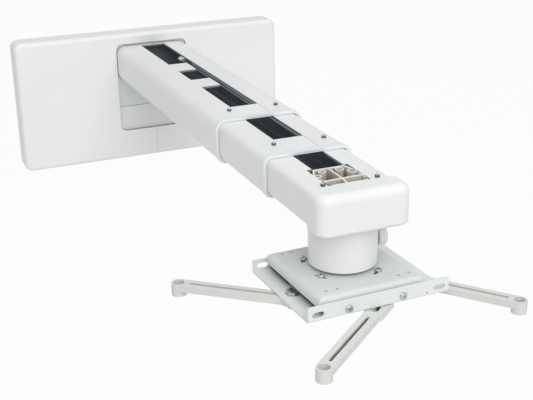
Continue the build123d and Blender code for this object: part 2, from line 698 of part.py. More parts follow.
def guide_bush():
    """Flanged bush that slides in the hub's slot and turns on the pivot bolt."""
    top = arm_top()
    sleeve = upright(BUSH_R, top - BAR_HEIGHT - ARM_DROP, TRAY_BOTTOM - 0.1)
    washer = upright(WASHER_R, top - BAR_HEIGHT - ARM_DROP - WASHER_WALL, top - BAR_HEIGHT - ARM_DROP)
    bore = upright(PIVOT_R + BUSH_CLEAR, top - BAR_HEIGHT - ARM_DROP - WASHER_WALL, TRAY_BOTTOM)
    return sleeve + washer - bore


def pivot_bolts():
    bolts = []
    low = arm_top() - BAR_HEIGHT - ARM_DROP - WASHER_WALL - 0.1
    for x, y, _, _ in ARMS.values():
        shank = upright(PIVOT_R, low, TRAY_BOTTOM + SHEET + PIVOT_NUT_HEIGHT, x, y)
        hexagon = Plane.XY.offset(low - 4) * Pos(x, y) * RegularPolygon(5, 6, major_radius=False)
        bolts.append(shank + extrude(hexagon, amount=4))
    return Compound(children=bolts)


def pivot_nuts():
    nuts = []
    floor = TRAY_BOTTOM + SHEET
    for x, y, _, _ in ARMS.values():
        flange = upright(PIVOT_NUT_FLANGE_R, floor, floor + 1.2, x, y)
        hexagon = Plane.XY.offset(floor) * Pos(x, y) * Rot(0, 0, 20)
        hexagon *= RegularPolygon(PIVOT_NUT_FLATS / 2, 6, major_radius=False)
        nut = flange + extrude(hexagon, amount=PIVOT_NUT_HEIGHT)
        nuts.append(nut - upright(PIVOT_R, floor, floor + PIVOT_NUT_HEIGHT, x, y))
    return Compound(children=nuts)


def on_head(solid):
    """Turn a piece drawn about the column axis into the arm's frame."""
    return Pos(0, -COLUMN_AT, 0) * Rot(0, 0, HEAD_YAW) * solid


def on_column(solid):
    return Pos(0, -COLUMN_AT, 0) * solid


save(wall_plate(), "wall_plate")
save(arm_flange(), "arm_flange")
save(flange_bolts(), "flange_bolts")
save(cover_posts(), "cover_posts")
save(wall_cover(), "wall_cover")
save(panel(PANEL_SEAM, ARM_Z - OUTER_HALF_Z), "insert_upper")
save(panel(CUT_BOTTOM, PANEL_SEAM), "insert_lower")
save(outer_tube(), "outer_tube")
save(collar(0, OUTER_MOUTH, COLLAR_OUTER_LENGTH), "outer_collar")
save(slot_key(0, OUTER_WINDOWS[-1][1], OUTER_SLOT_END), "outer_key")
save(lock_screws(0, OUTER_SCREW_AT), "outer_lock_screws")
save(middle_tube(), "middle_tube")
save(collar(1, MIDDLE_MOUTH, COLLAR_MIDDLE_LENGTH), "middle_collar")
save(slot_key(1, MIDDLE_SLOT_KEY, MIDDLE_SLOT_END), "middle_key")
save(lock_screws(1, MIDDLE_SCREW_AT), "middle_lock_screws")
save(stop_rod(), "stop_rod")
save(stop_nut(), "stop_nut")
save(inner_tube(), "inner_tube")
save(head_casting(), "head_casting")
save(end_cap(), "end_cap")
save(head_screws(), "head_screws")
save(column(), "column")
save(on_column(lock_knob()), "lock_knob")
save(on_column(lock_stud()), "lock_stud")
save(on_head(spindle()), "spindle")
save(on_head(arc_screws()), "arc_screws")
save(on_head(upper_plate()), "upper_plate")
save(on_head(pitch_pins()), "pitch_pins")
save(on_head(yoke()), "yoke")
save(on_head(tray_screws(-1)), "tray_screws_front")
save(on_head(tray_screws(1)), "tray_screws_rear")
save(on_head(tray()), "tray")
save(on_head(pivot_bolts()), "pivot_bolts")
save(on_head(pivot_nuts()), "pivot_nuts")
for arm_name, arm_values in ARMS.items():
    save(on_head(place_arm(spider_arm(), arm_values)), f"arm_{arm_name}")
    pivot_x, pivot_y = arm_values[:2]
    save(on_head(Pos(pivot_x, pivot_y, 0) * guide_bush()), f"guide_{arm_name}")
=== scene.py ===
import math

import bpy
import numpy as np
from mathutils import Matrix, Vector


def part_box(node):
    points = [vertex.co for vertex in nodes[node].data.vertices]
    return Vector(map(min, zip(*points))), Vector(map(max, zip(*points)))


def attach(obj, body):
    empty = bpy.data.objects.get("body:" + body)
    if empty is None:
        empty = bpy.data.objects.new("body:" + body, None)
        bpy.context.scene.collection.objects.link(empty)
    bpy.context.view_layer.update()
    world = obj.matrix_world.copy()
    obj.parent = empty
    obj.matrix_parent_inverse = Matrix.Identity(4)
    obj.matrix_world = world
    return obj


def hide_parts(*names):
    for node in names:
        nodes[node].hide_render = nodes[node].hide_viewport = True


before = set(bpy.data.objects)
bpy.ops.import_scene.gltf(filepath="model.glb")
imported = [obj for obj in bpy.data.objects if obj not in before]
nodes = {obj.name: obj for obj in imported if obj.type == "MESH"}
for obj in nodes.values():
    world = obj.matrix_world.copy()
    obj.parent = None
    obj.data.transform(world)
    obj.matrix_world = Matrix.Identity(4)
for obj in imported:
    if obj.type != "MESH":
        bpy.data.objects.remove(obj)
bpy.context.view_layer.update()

# Colours as they look under plain light, in linear values, apart from the painted shade and
# highlight marked below
COVER_WHITE = (0.80, 0.80, 0.79)
TUBE_WHITE = (0.80, 0.80, 0.785)
CAP_WHITE = (0.79, 0.79, 0.78)
HEAD_GREY = (0.74, 0.76, 0.745)
# Head grey darkened as painted shade, for the shadow that the cap and arm cast on the upper plate
PLATE_GREY_SHADED = (0.65, 0.675, 0.66)
ARM_WHITE = (0.70, 0.705, 0.67)
PANEL_GREY = (0.66, 0.68, 0.67)
PANEL_PALE = (0.72, 0.72, 0.71)
COLLAR_WHITE = (0.75, 0.765, 0.78)
KNOB_WHITE = (0.80, 0.80, 0.79)
CAST_PALE = (0.80, 0.775, 0.725)
# Painted shade in the casting's pockets, deepening with depth
CAST_WALL_SHADE = (0.50, 0.475, 0.43)
CAST_DEEP_SHADE = (0.30, 0.275, 0.24)
# The bore's dark: partly the tubes' dark bare inside, partly painted shade inside the tubes
BORE_DARK_AND_SHADE = (0.27, 0.30, 0.335)
BLACK_COAT = (0.012, 0.015, 0.018)
ZINC = (0.50, 0.58, 0.63)
ZINC_WARM = (0.62, 0.61, 0.55)
# Lit and shaded copies of zinc: a painted highlight for screw crowns and the stop nut, painted
# shade for screw bodies
ZINC_PAINTED_HIGHLIGHT = ((0.72, 0.76, 0.76), (0.78, 0.78, 0.74))
ZINC_PAINTED_SHADE = ((0.10, 0.15, 0.15), (0.16, 0.20, 0.19))
ROD_STEEL = ((0.16, 0.18, 0.19), (0.20, 0.21, 0.21))
TURNED_STEEL = (0.42, 0.44, 0.45)
# Painted shade for the deep slots of the arms
SLOT_PAINTED_SHADE = (0.10, 0.105, 0.10)

# The tubes in millimetres. Distances along the arm are measured from the wall.
MM = 0.001
ARM_Z = 60.0
OUTER_HALF_X = 61.0
OUTER_HALF_Z = 29.3
OUTER_CORNER = 14.0
TUBE_STEP = 3.65
TUBE_WALL = 3.0
# How much each tube stands in at its right, to meet the photo's outline
RIGHT_TRIM = (0.0, 1.2, 2.2)

# In metres: how far into a tube's wall its bore's dark reaches, as painted shade on the cut walls
# of its slots, and the heights between which the casting's colour turns from its pale paint to
# painted shade in the deep
BORE_SHADE_REACH = 0.0026
CAST_PALE_Z = 0.0812
CAST_DEEP_Z = 0.0620
# Share of that depth above which the paint is a rib's
RIB_SHARE = 0.03
# Pointiness where edge wear starts, and how fast it rises
WEAR_START = 0.52
WEAR_GAIN = 9.0


# Shared shader groups
def new_group(name, inputs, outputs):
    """An empty node group with float inputs (name, value) and outputs (name, type)."""
    group = bpy.data.node_groups.new(name, "ShaderNodeTree")
    for label, value in inputs:
        socket = group.interface.new_socket(
            name=label, in_out="INPUT", socket_type="NodeSocketFloat"
        )
        socket.default_value = value
    for label, kind in outputs:
        group.interface.new_socket(name=label, in_out="OUTPUT", socket_type=kind)
    return group, group.nodes.new("NodeGroupInput"), group.nodes.new("NodeGroupOutput")


def math_node(tree, operation, first, second=None):
    """A Math node fed by sockets or plain numbers."""
    node = tree.nodes.new("ShaderNodeMath")
    node.operation = operation
    for index, value in enumerate((first, second)):
        if value is None:
            continue
        if isinstance(value, (int, float)):
            node.inputs[index].default_value = value
        else:
            tree.links.new(value, node.inputs[index])
    return node.outputs[0]


def noise_node(tree, scale, detail, vector):
    """Noise whose scale is a plain number or a socket."""
    noise = tree.nodes.new("ShaderNodeTexNoise")
    noise.inputs["Detail"].default_value = detail
    if isinstance(scale, (int, float)):
        noise.inputs["Scale"].default_value = scale
    else:
        tree.links.new(scale, noise.inputs["Scale"])
    tree.links.new(vector, noise.inputs["Vector"])
    return noise.outputs["Fac"]


def build_coat_group():
    """Powder coat: fine orange peel in Height and slow cloudiness in Cloud."""
    group, source, sink = new_group(
        "powder_coat",
        [("Peel Scale", 900.0), ("Cloud Scale", 9.0)],
        [("Height", "NodeSocketFloat"), ("Cloud", "NodeSocketFloat")],
    )
    place = group.nodes.new("ShaderNodeTexCoord").outputs["Object"]
    peel = noise_node(group, source.outputs["Peel Scale"], 3.0, place)
    cloud = noise_node(group, source.outputs["Cloud Scale"], 5.0, place)
    group.links.new(peel, sink.inputs["Height"])
    group.links.new(cloud, sink.inputs["Cloud"])
    return group


def build_bore_group():
    """Mask of a rectangular tube's inside: 1 where the rounded box distance is below zero.

    Distance: length of max(|p| - (half - radius), 0) less the radius, with p measured
    across the arm from its axis.
    """
    group, source, sink = new_group(
        "tube_inside",
        [
            ("Half X", 0.05), ("Half Z", 0.02), ("Radius", 0.01),
            ("Axis X", 0.0), ("Axis Z", ARM_Z * MM),
        ],
        [("Mask", "NodeSocketFloat")],
    )
    place = group.nodes.new("ShaderNodeTexCoord").outputs["Object"]
    split = group.nodes.new("ShaderNodeSeparateXYZ")
    group.links.new(place, split.inputs[0])
    radius = source.outputs["Radius"]
    side = math_node(group, "SUBTRACT", split.outputs["X"], source.outputs["Axis X"])
    height = math_node(group, "SUBTRACT", split.outputs["Z"], source.outputs["Axis Z"])
    squares = []
    for value, half in ((side, "Half X"), (height, "Half Z")):
        flat = math_node(group, "SUBTRACT", source.outputs[half], radius)
        over = math_node(group, "SUBTRACT", math_node(group, "ABSOLUTE", value), flat)
        squares.append(math_node(group, "POWER", math_node(group, "MAXIMUM", over, 0.0), 2.0))
    length = math_node(group, "SQRT", math_node(group, "ADD", squares[0], squares[1]))
    distance = math_node(group, "SUBTRACT", length, radius)
    group.links.new(math_node(group, "LESS_THAN", distance, BORE_SHADE_REACH), sink.inputs["Mask"])
    return group


def build_wear_group():
    """Soft edge wear: convex edges, broken up by noise."""
    group, source, sink = new_group(
        "edge_wear", [("Amount", 0.5), ("Scale", 60.0)], [("Mask", "NodeSocketFloat")]
    )
    place = group.nodes.new("ShaderNodeTexCoord").outputs["Object"]
    point = group.nodes.new("ShaderNodeNewGeometry").outputs["Pointiness"]
    past = math_node(group, "SUBTRACT", point, WEAR_START)
    sharp = math_node(group, "MULTIPLY", past, WEAR_GAIN)
    noise = noise_node(group, source.outputs["Scale"], 4.0, place)
    broken = math_node(group, "MULTIPLY", sharp, noise)
    held = math_node(group, "MINIMUM", math_node(group, "MAXIMUM", broken, 0.0), 1.0)
    mask = math_node(group, "MULTIPLY", held, source.outputs["Amount"])
    group.links.new(mask, sink.inputs["Mask"])
    return group


coat_group = build_coat_group()
bore_group = build_bore_group()
wear_group = build_wear_group()


def place_group(tree, group, **values):
    """A group's node, with its inputs set by name."""
    node = tree.nodes.new("ShaderNodeGroup")
    node.node_tree = group
    for label, value in values.items():
        node.inputs[label.replace("_", " ")].default_value = value
    return node


def mix_colour(tree, factor, first, second):
    """Colour mix of sockets or plain colours."""
    node = tree.nodes.new("ShaderNodeMix")
    node.data_type = "RGBA"
    tree.links.new(factor, node.inputs[0])
    for index, value in ((6, first), (7, second)):
        if isinstance(value, tuple):
            node.inputs[index].default_value = (*value, 1.0)
        else:
            tree.links.new(value, node.inputs[index])
    return node.outputs[2]


def map_range(tree, value, low, high):
    """Stretch a noise value near its middle to a range."""
    node = tree.nodes.new("ShaderNodeMapRange")
    node.inputs["From Min"].default_value = 0.3
    node.inputs["From Max"].default_value = 0.7
    node.inputs["To Min"].default_value = low
    node.inputs["To Max"].default_value = high
    tree.links.new(value, node.inputs["Value"])
    return node.outputs[0]


def shade(colour, factor):
    """A lighter or darker colour."""
    return tuple(channel * factor for channel in colour)


def new_material(name):
    """A material with its node tree and its Principled shader."""
    material = bpy.data.materials.new(name)
    material.use_nodes = True
    shader = material.node_tree.nodes["Principled BSDF"]
    return material, material.node_tree, shader


def add_bump(tree, shader, height, strength, distance):
    """Bump from a height into the shader's normal."""
    bump = tree.nodes.new("ShaderNodeBump")
    bump.inputs["Strength"].default_value = strength
    bump.inputs["Distance"].default_value = distance
    tree.links.new(height, bump.inputs["Height"])
    tree.links.new(bump.outputs["Normal"], shader.inputs["Normal"])


def coated(
    name, colour, rough=0.42, peel=900.0, bump=0.10, inside=None, coat=0.0, wear=0.25
):
    """Powder coat or moulded skin. inside gives a tube's bore, which is painted dark, partly for
    its bare inside and partly as painted shade.
    """
    material, tree, shader = new_material(name)
    powder = place_group(tree, coat_group, Peel_Scale=peel, Cloud_Scale=7.0)
    cloud = map_range(tree, powder.outputs["Cloud"], 0.0, 1.0)
    base = mix_colour(tree, cloud, shade(colour, 0.965), shade(colour, 1.02))
    if wear:
        worn = place_group(tree, wear_group, Amount=wear, Scale=80.0)
        base = mix_colour(tree, worn.outputs["Mask"], base, shade(colour, 0.82))
    roughness = map_range(tree, powder.outputs["Cloud"], rough - 0.05, rough + 0.06)
    if inside:
        half_x, half_z, radius, axis_x = inside
        bore = place_group(
            tree, bore_group, Half_X=half_x, Half_Z=half_z, Radius=radius, Axis_X=axis_x
        )
        # Painted shade: the bore's dark stands partly for the bare inside and partly for the shade
        # in the tube and on its slots' cut walls
        base = mix_colour(tree, bore.outputs["Mask"], base, BORE_DARK_AND_SHADE)
    tree.links.new(base, shader.inputs["Base Color"])
    tree.links.new(roughness, shader.inputs["Roughness"])
    shader.inputs["Specular IOR Level"].default_value = 0.45
    shader.inputs["Coat Weight"].default_value = coat
    add_bump(tree, shader, powder.outputs["Height"], bump, 0.0002)
    return material


def metal(name, colour, second, rough=0.3, turned=0.0):
    """Plated or turned metal with a slow tint and fine scratches."""
    material, tree, shader = new_material(name)
    place = tree.nodes.new("ShaderNodeTexCoord").outputs["Object"]
    tint = noise_node(tree, 120.0, 3.0, place)
    base = mix_colour(tree, map_range(tree, tint, 0.0, 1.0), colour, second)
    wear = place_group(tree, wear_group, Amount=0.4, Scale=300.0)
    base = mix_colour(tree, wear.outputs["Mask"], base, shade(colour, 1.3))
    tree.links.new(base, shader.inputs["Base Color"])
    shader.inputs["Metallic"].default_value = 1.0
    scratch = noise_node(tree, 1800.0, 2.0, place)
    roughness = map_range(tree, scratch, rough - 0.06, rough + 0.08)
    tree.links.new(roughness, shader.inputs["Roughness"])
    shader.inputs["Anisotropic"].default_value = turned
    add_bump(tree, shader, scratch, 0.08, 0.0001)
    return material


def cast_metal(name):
    """Painted casting: pale rib tops, painted shade that grows darker and browner with depth, and
    a fine cast grain.
    """
    material, tree, shader = new_material(name)
    place = tree.nodes.new("ShaderNodeTexCoord").outputs["Object"]
    split = tree.nodes.new("ShaderNodeSeparateXYZ")
    tree.links.new(place, split.inputs[0])
    depth = tree.nodes.new("ShaderNodeMapRange")
    depth.inputs["From Min"].default_value = CAST_PALE_Z
    depth.inputs["From Max"].default_value = CAST_DEEP_Z
    tree.links.new(split.outputs["Z"], depth.inputs["Value"])
    grain = noise_node(tree, 420.0, 4.0, place)
    speckle = map_range(tree, grain, 0.0, 1.0)
    rib = mix_colour(tree, speckle, CAST_PALE, shade(CAST_PALE, 0.95))
    # Painted shade: walls and floors darker and browner the deeper they sink
    sunk_shade = math_node(tree, "MINIMUM", depth.outputs[0], 1.0)
    wall = mix_colour(tree, sunk_shade, CAST_WALL_SHADE, CAST_DEEP_SHADE)
    below = math_node(tree, "GREATER_THAN", depth.outputs[0], RIB_SHARE)
    tree.links.new(mix_colour(tree, below, rib, wall), shader.inputs["Base Color"])
    tree.links.new(map_range(tree, grain, 0.5, 0.65), shader.inputs["Roughness"])
    add_bump(tree, shader, grain, 0.12, 0.0002)
    return material


def tube_inside(step):
    """Bore of the nth tube from its node's box and the wall: half sizes, corner and middle."""
    low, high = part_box(("outer_tube", "middle_tube", "inner_tube")[step])
    wall = TUBE_WALL * MM
    corner = (OUTER_CORNER - TUBE_WALL - step * TUBE_STEP) * MM
    trim = RIGHT_TRIM[step] / 2 * MM
    return (high.x - wall - trim, (high.z - low.z) / 2 - wall, corner, -trim)


cover_coat = coated("cover_coat", COVER_WHITE, rough=0.45, peel=700.0, bump=0.12)
cap_coat = coated("cap_coat", CAP_WHITE, rough=0.38, peel=800.0, bump=0.08, coat=0.1)
panel_grey = coated("panel_grey", PANEL_GREY, rough=0.5)
panel_pale = coated("panel_pale", PANEL_PALE, rough=0.45)
plate_coat = coated("plate_coat", ARM_WHITE, rough=0.5)
# Painted shade: the flange's white face inside the tube's bore takes the bore's dark
flange_coat_bore_shade = coated("flange_coat_bore_shade", ARM_WHITE, rough=0.5, inside=tube_inside(0))
# The tubes' insides take the bore's dark, partly their bare inside and partly painted shade
tube_coats = [
    coated(f"tube_coat_{step}", TUBE_WHITE, rough=0.36, inside=tube_inside(step), coat=0.15)
    for step in range(3)
]
column_coat = coated("column_coat", CAP_WHITE, rough=0.34, coat=0.2)
collar_skin = coated("collar_skin", COLLAR_WHITE, rough=0.3, coat=0.3)
knob_skin = coated("knob_skin", KNOB_WHITE, rough=0.4)
casting_coat_depth_shade = cast_metal("casting_coat_depth_shade")
head_coat = coated("head_coat", HEAD_GREY, rough=0.42)
# The upper plate in painted shade, darker than the tray
pan_coat_shaded = coated("pan_coat_shaded", PLATE_GREY_SHADED, rough=0.42)
arm_coat = coated("arm_coat", shade(ARM_WHITE, 0.93), rough=0.42, peel=150.0, wear=0.0)
slot_shade = coated("slot_shade", SLOT_PAINTED_SHADE, rough=0.6, wear=0.0)
black_coat = coated("black_coat", BLACK_COAT, rough=0.4)
zinc_plate = metal("zinc_plate", ZINC, ZINC_WARM, rough=0.28)
zinc_painted_highlight = metal("zinc_painted_highlight", *ZINC_PAINTED_HIGHLIGHT, rough=0.24)
zinc_painted_shade = metal("zinc_painted_shade", *ZINC_PAINTED_SHADE, rough=0.35)
rod_steel = metal("rod_steel", *ROD_STEEL, rough=0.4)
turned_steel = metal(
    "turned_steel", TURNED_STEEL, shade(TURNED_STEEL, 1.15), rough=0.3, turned=0.4
)

node_finish = {
    "wall_cover": cover_coat,
    "insert_upper": panel_grey,
    "insert_lower": panel_pale,
    "wall_plate": plate_coat,
    "arm_flange": flange_coat_bore_shade,
    "cover_posts": plate_coat,
    "outer_tube": tube_coats[0],
    "middle_tube": tube_coats[1],
    "inner_tube": tube_coats[2],
    "column": column_coat,
    "outer_collar": collar_skin,
    "outer_key": tube_coats[0],
    "middle_collar": collar_skin,
    "middle_key": tube_coats[1],
    "end_cap": cap_coat,
    "lock_knob": knob_skin,
    "head_casting": casting_coat_depth_shade,
    "spindle": turned_steel,
    "upper_plate": head_coat,
    "tray": head_coat,
    "yoke": black_coat,
    "stop_rod": rod_steel,
    "stop_nut": zinc_painted_highlight,
}
for name, node in nodes.items():
    finish = node_finish.get(name, zinc_plate)
    if name.startswith("arm_") and name not in node_finish:
        finish = arm_coat
    if name.startswith("guide_"):
        finish = turned_steel
    node.data.materials.clear()
    node.data.materials.append(finish)


# The column's distance from the wall, the head's turn about it, and the angle from which an
# edge stays sharp
COLUMN_AT = 764.4
HEAD_YAW = math.radians(1.7)
EDGE_ANGLE = math.radians(28.0)


# Solids from rings of points
def rounded(width, height, radius, steps=6):
    """Rounded rectangle: quarter circles of the radius about four inner corners, as an array."""
    turn = np.linspace(0.0, np.pi / 2, steps + 1)
    corners = np.array([[1, 1], [-1, 1], [-1, -1], [1, -1]])
    corners = corners * (width / 2 - radius, height / 2 - radius)
    angle = turn + np.arange(4)[:, None] * np.pi / 2
    arc = radius * np.stack([np.cos(angle), np.sin(angle)], -1)
    return (corners[:, None, :] + arc).reshape(-1, 2)


def circle(radius, steps=32, x=0.0, y=0.0):
    """Points at radius times (cos, sin) of evenly spaced angles about a centre."""
    angle = np.arange(steps) * 2 * np.pi / steps
    return np.stack([x + radius * np.cos(angle), y + radius * np.sin(angle)], -1)


def level(points, height):
    """Plan points at one height, or one height each."""
    return np.concatenate([points, np.broadcast_to(height, len(points))[:, None]], 1)


def across(points, reach):
    """Section points (x, z) at a distance from the wall, as (x, -reach, z)."""
    depth = np.broadcast_to(-np.asarray(reach), len(points))
    return np.stack([points[:, 0], depth, points[:, 1]], -1)


def sideways(points, x):
    """Section points (y, z) at one x."""
    return np.concatenate([np.full((len(points), 1), x), points], 1)


def on_head(points):
    """Turn points drawn about the column by the head's yaw and set them on the column's axis."""
    cos, sin = math.cos(HEAD_YAW), math.sin(HEAD_YAW)
    turn = np.array([[cos, sin, 0.0], [-sin, cos, 0.0], [0.0, 0.0, 1.0]])
    return points @ turn + (0.0, -COLUMN_AT, 0.0)


def skin(rings, closed=False):
    """Skin over a stack of rings: quads join point j of ring i to the next ring and point.

    Flat ends close the stack, or its last ring joins its first. The sign of the volume,
    a sum of triple products over the faces, tells which way the faces look.
    """
    rings = np.asarray(rings, float)
    count, around = rings.shape[:2]
    grid = np.arange(count * around).reshape(count, around)
    low = grid if closed else grid[:-1]
    high = np.roll(grid, -1, 0) if closed else grid[1:]
    quads = np.stack([low, np.roll(low, -1, 1), np.roll(high, -1, 1), high], -1).reshape(-1, 4)
    points = rings.reshape(-1, 3)
    centre = points.mean(0)
    a, b, c, d = (points[quads[:, k]] - centre for k in range(4))
    volume = np.einsum("ij,ij->", a, np.cross(b, c)) + np.einsum("ij,ij->", a, np.cross(c, d))
    faces = quads.tolist()
    if not closed:
        faces += [grid[0][::-1].tolist(), grid[-1].tolist()]
        for end, sign in ((rings[0], -1.0), (rings[-1], 1.0)):
            p = end - centre
            area = np.cross(p, np.roll(p, -1, 0)).sum(0)
            volume += sign * float(p[0] @ area)
    if volume < 0:
        faces = [face[::-1] for face in faces]
    return points, faces


def box_of(x0, x1, reach0, reach1, z0, z1):
    """A block between two sides, two distances from the wall and two heights."""
    plan = np.array([[x0, -reach0], [x0, -reach1], [x1, -reach1], [x1, -reach0]])
    return skin([level(plan, z0), level(plan, z1)])


def plank(points, low, high):
    """Plan outline raised between two heights."""
    return skin([level(points, low), level(points, high)])


def post(radius, z0, z1, x=0.0, y=0.0, steps=32):
    """Upright round bar, for bores and bosses."""
    return plank(circle(radius, steps, x, y), z0, z1)


def mesh_of(name, skins, turned=None):
    """One mesh object from several skins."""
    points, faces, start = [], [], 0
    for some, their in skins:
        points.append(turned(some) if turned else some)
        faces += [[start + index for index in face] for face in their]
        start += len(some)
    mesh = bpy.data.meshes.new(name)
    mesh.from_pydata((np.concatenate(points) * MM).tolist(), [], faces)
    mesh.update()
    piece = bpy.data.objects.new(name, mesh)
    bpy.context.scene.collection.objects.link(piece)
    return piece


def carve(piece, cutters, turned=None, operation="DIFFERENCE"):
    """Take each cutter's skin out of a piece, or join it on, and keep the result as its mesh."""
    tools = []
    for index, cutter in enumerate(cutters):
        tool = mesh_of(f"cutter_{index}", [cutter], turned)
        change = piece.modifiers.new(f"cut_{index}", "BOOLEAN")
        change.operation = operation
        change.solver = "EXACT"
        change.object = tool
        tools.append(tool)
    bpy.context.view_layer.update()
    solved = piece.evaluated_get(bpy.context.evaluated_depsgraph_get())
    mesh = bpy.data.meshes.new_from_object(solved)
    piece.modifiers.clear()
    piece.data = mesh
    for tool in tools:
        bpy.data.objects.remove(tool, do_unlink=True)
    return piece


def finish_piece(piece, material, body, slot_name, *stands_for):
    """Smooth faces with sharp edges kept, a material, its body, and the parts it stands for
    hidden.
    """
    mesh = piece.data
    mesh.materials.clear()
    mesh.materials.append(material)
    mesh.polygons.foreach_set("use_smooth", np.ones(len(mesh.polygons), bool))
    mesh.set_sharp_from_angle(angle=EDGE_ANGLE)
    even = piece.modifiers.new("even_normals", "WEIGHTED_NORMAL")
    even.keep_sharp = True
    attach(piece, body)
    if stands_for:
        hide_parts(*stands_for)


# Telescoping tubes
SLOT_HALF = 20.2
SLIT_LEFT = 9.2
# The windows' cuts run a little into the slit's
WINDOWS_RIGHT = SLIT_LEFT + 1
LOCK_SCREW_R = 2.9
LOCK_SCREWS_X = (-28.1, 39.5)
HEAD_SCREWS_X = (-32.5, 34.9)
OUTER_SCREW_AT = 484.0
MIDDLE_SCREW_AT = 633.5
HEAD_SCREW_AT = 779.0
OUTER_BACK = 12.0
OUTER_MOUTH = 513.5
MIDDLE_BACK = 192.0
MIDDLE_MOUTH = 663.0
INNER_BACK = 412.0
INNER_FRONT = 804.5
OUTER_KEY_BACK = 467.0
MIDDLE_KEY_BACK = 614.0
OUTER_KEY_GAP = 1.0
MIDDLE_KEY_GAP = 1.2
KEY_SIDE_GAP = 0.35
KEY_EASE = 0.3
KEY_CORNER = 0.6
KEY_TOP_CORNER = 0.4
OUTER_COLLAR_LENGTH = 8.0
MIDDLE_COLLAR_LENGTH = 9.5
COLLAR_PROUD = 1.0
COLLAR_INSIDE = 0.35
COLLAR_EASE = 0.8
# Openings in the tubes' tops: left, right, and distances from the wall
OUTER_OPENINGS = (
    (-SLOT_HALF, SLOT_HALF, 45.0, 199.5),
    (-SLOT_HALF, WINDOWS_RIGHT, 245.0, 305.7),
    (-SLOT_HALF, WINDOWS_RIGHT, 350.0, 530.0),
    (SLIT_LEFT, SLOT_HALF, 198.0, 530.0),
)
MIDDLE_OPENINGS = ((-SLOT_HALF, SLOT_HALF, 180.0, 690.0),)
INNER_OPENINGS = ((-SLOT_HALF, SLOT_HALF, 400.0, 725.5), (-27.4, 25.5, 724.0, 782.0))


def tube_top(step):
    """Height of the nth tube's top."""
    return ARM_Z + OUTER_HALF_Z - step * TUBE_STEP


def section(step, inset=0.0):
    """Rounded section of the nth tube, as (x, z)."""
    shrink = step * TUBE_STEP + inset
    corner = max(OUTER_CORNER - shrink, 1.5)
    plan = rounded(2 * (OUTER_HALF_X - shrink), 2 * (OUTER_HALF_Z - shrink), corner)
    plan[:, 0] -= np.where(plan[:, 0] > 0, RIGHT_TRIM[step], 0.0)
    return plan + (0.0, ARM_Z)


def tube(name, step, back, front, openings, screws_x, screws_at, body):
    """Hollow rounded tube: outer and inner sections joined at both ends, its top cut open."""
    rings = [
        across(section(step), back),
        across(section(step), front),
        across(section(step, TUBE_WALL), front),
        across(section(step, TUBE_WALL), back),
    ]
    top = tube_top(step)
    under = top - TUBE_WALL
    cuts = [box_of(*opening, under - 4, top + 2) for opening in openings]
    cuts += [post(LOCK_SCREW_R, under - 1, top + 1, x, -screws_at) for x in screws_x]
    piece = carve(mesh_of(name + "_skin", [skin(rings, closed=True)]), cuts)
    finish_piece(piece, tube_coats[step], body, "tube_paint", name)


tube(
    "outer_tube", 0, OUTER_BACK, OUTER_MOUTH, OUTER_OPENINGS,
    LOCK_SCREWS_X, OUTER_SCREW_AT, "wall",
)
tube(
    "middle_tube", 1, MIDDLE_BACK, MIDDLE_MOUTH, MIDDLE_OPENINGS,
    LOCK_SCREWS_X, MIDDLE_SCREW_AT, "middle",
)
tube(
    "inner_tube", 2, INNER_BACK, INNER_FRONT, INNER_OPENINGS,
    HEAD_SCREWS_X, HEAD_SCREW_AT, "inner",
)


def slot_key(name, step, reach0, reach1, body):
    """Plate in a slot's front end, with a hairline gap round it and eased top edges."""
    top = tube_top(step)
    ease = KEY_EASE
    wide, long = 2 * (SLOT_HALF - KEY_SIDE_GAP), reach1 - reach0
    centre = (0.0, -(reach0 + reach1) / 2)
    rings = [
        level(rounded(wide, long, KEY_CORNER, 2) + centre, top - TUBE_WALL),
        level(rounded(wide, long, KEY_CORNER, 2) + centre, top - ease),
        level(rounded(wide - 2 * ease, long - 2 * ease, KEY_TOP_CORNER, 2) + centre, top),
    ]
    piece = mesh_of(name + "_skin", [skin(rings)])
    finish_piece(piece, tube_coats[step], body, "collar_plastic", name)


slot_key("outer_key", 0, OUTER_KEY_BACK, OUTER_MOUTH - OUTER_KEY_GAP, "wall")
slot_key("middle_key", 1, MIDDLE_KEY_BACK, MIDDLE_MOUTH - MIDDLE_KEY_GAP, "middle")


def collar(name, step, mouth, length, body):
    """Slip ring: a rounded band that stands proud of the tube and guides the next one."""
    proud, bore, ease = -COLLAR_PROUD, TUBE_WALL + COLLAR_INSIDE, COLLAR_EASE
    profile = (
        (bore, mouth),
        (bore, mouth + length - 0.4),
        (bore - 0.4, mouth + length),
        (proud + ease, mouth + length),
        (proud + 0.25 * ease, mouth + length - 0.3 * ease),
        (proud, mouth + length - ease),
        (proud, mouth + 0.3),
        (proud + 0.4, mouth),
    )
    rings = [across(section(step, inset), reach) for inset, reach in profile]
    piece = mesh_of(name + "_skin", [skin(rings, closed=True)])
    finish_piece(piece, collar_skin, body, "collar_plastic", name)


collar("outer_collar", 0, OUTER_MOUTH, OUTER_COLLAR_LENGTH, "wall")
collar("middle_collar", 1, MIDDLE_MOUTH, MIDDLE_COLLAR_LENGTH, "middle")


# Lock screws as rows of radius and height over the tube's top, and the socket in their crown
SCREW_BODY = ((2.85, -3.0), (2.85, 2.7), (2.7, 2.9), (2.4, 2.9), (2.3, 2.6))
SCREW_CROWN = ((2.45, 2.5), (2.45, 3.0), (2.1, 3.3), (1.3, 3.45))
SOCKET_FLAT = 0.95
SOCKET_HEIGHTS = (3.45, 2.6)
SCREW_STEPS = 24


def screw_body(x, y, top):
    """Turned cylinder head with an eased rim and a shallow dish."""
    return skin([level(circle(r, SCREW_STEPS, x, y), top + z) for r, z in SCREW_BODY])


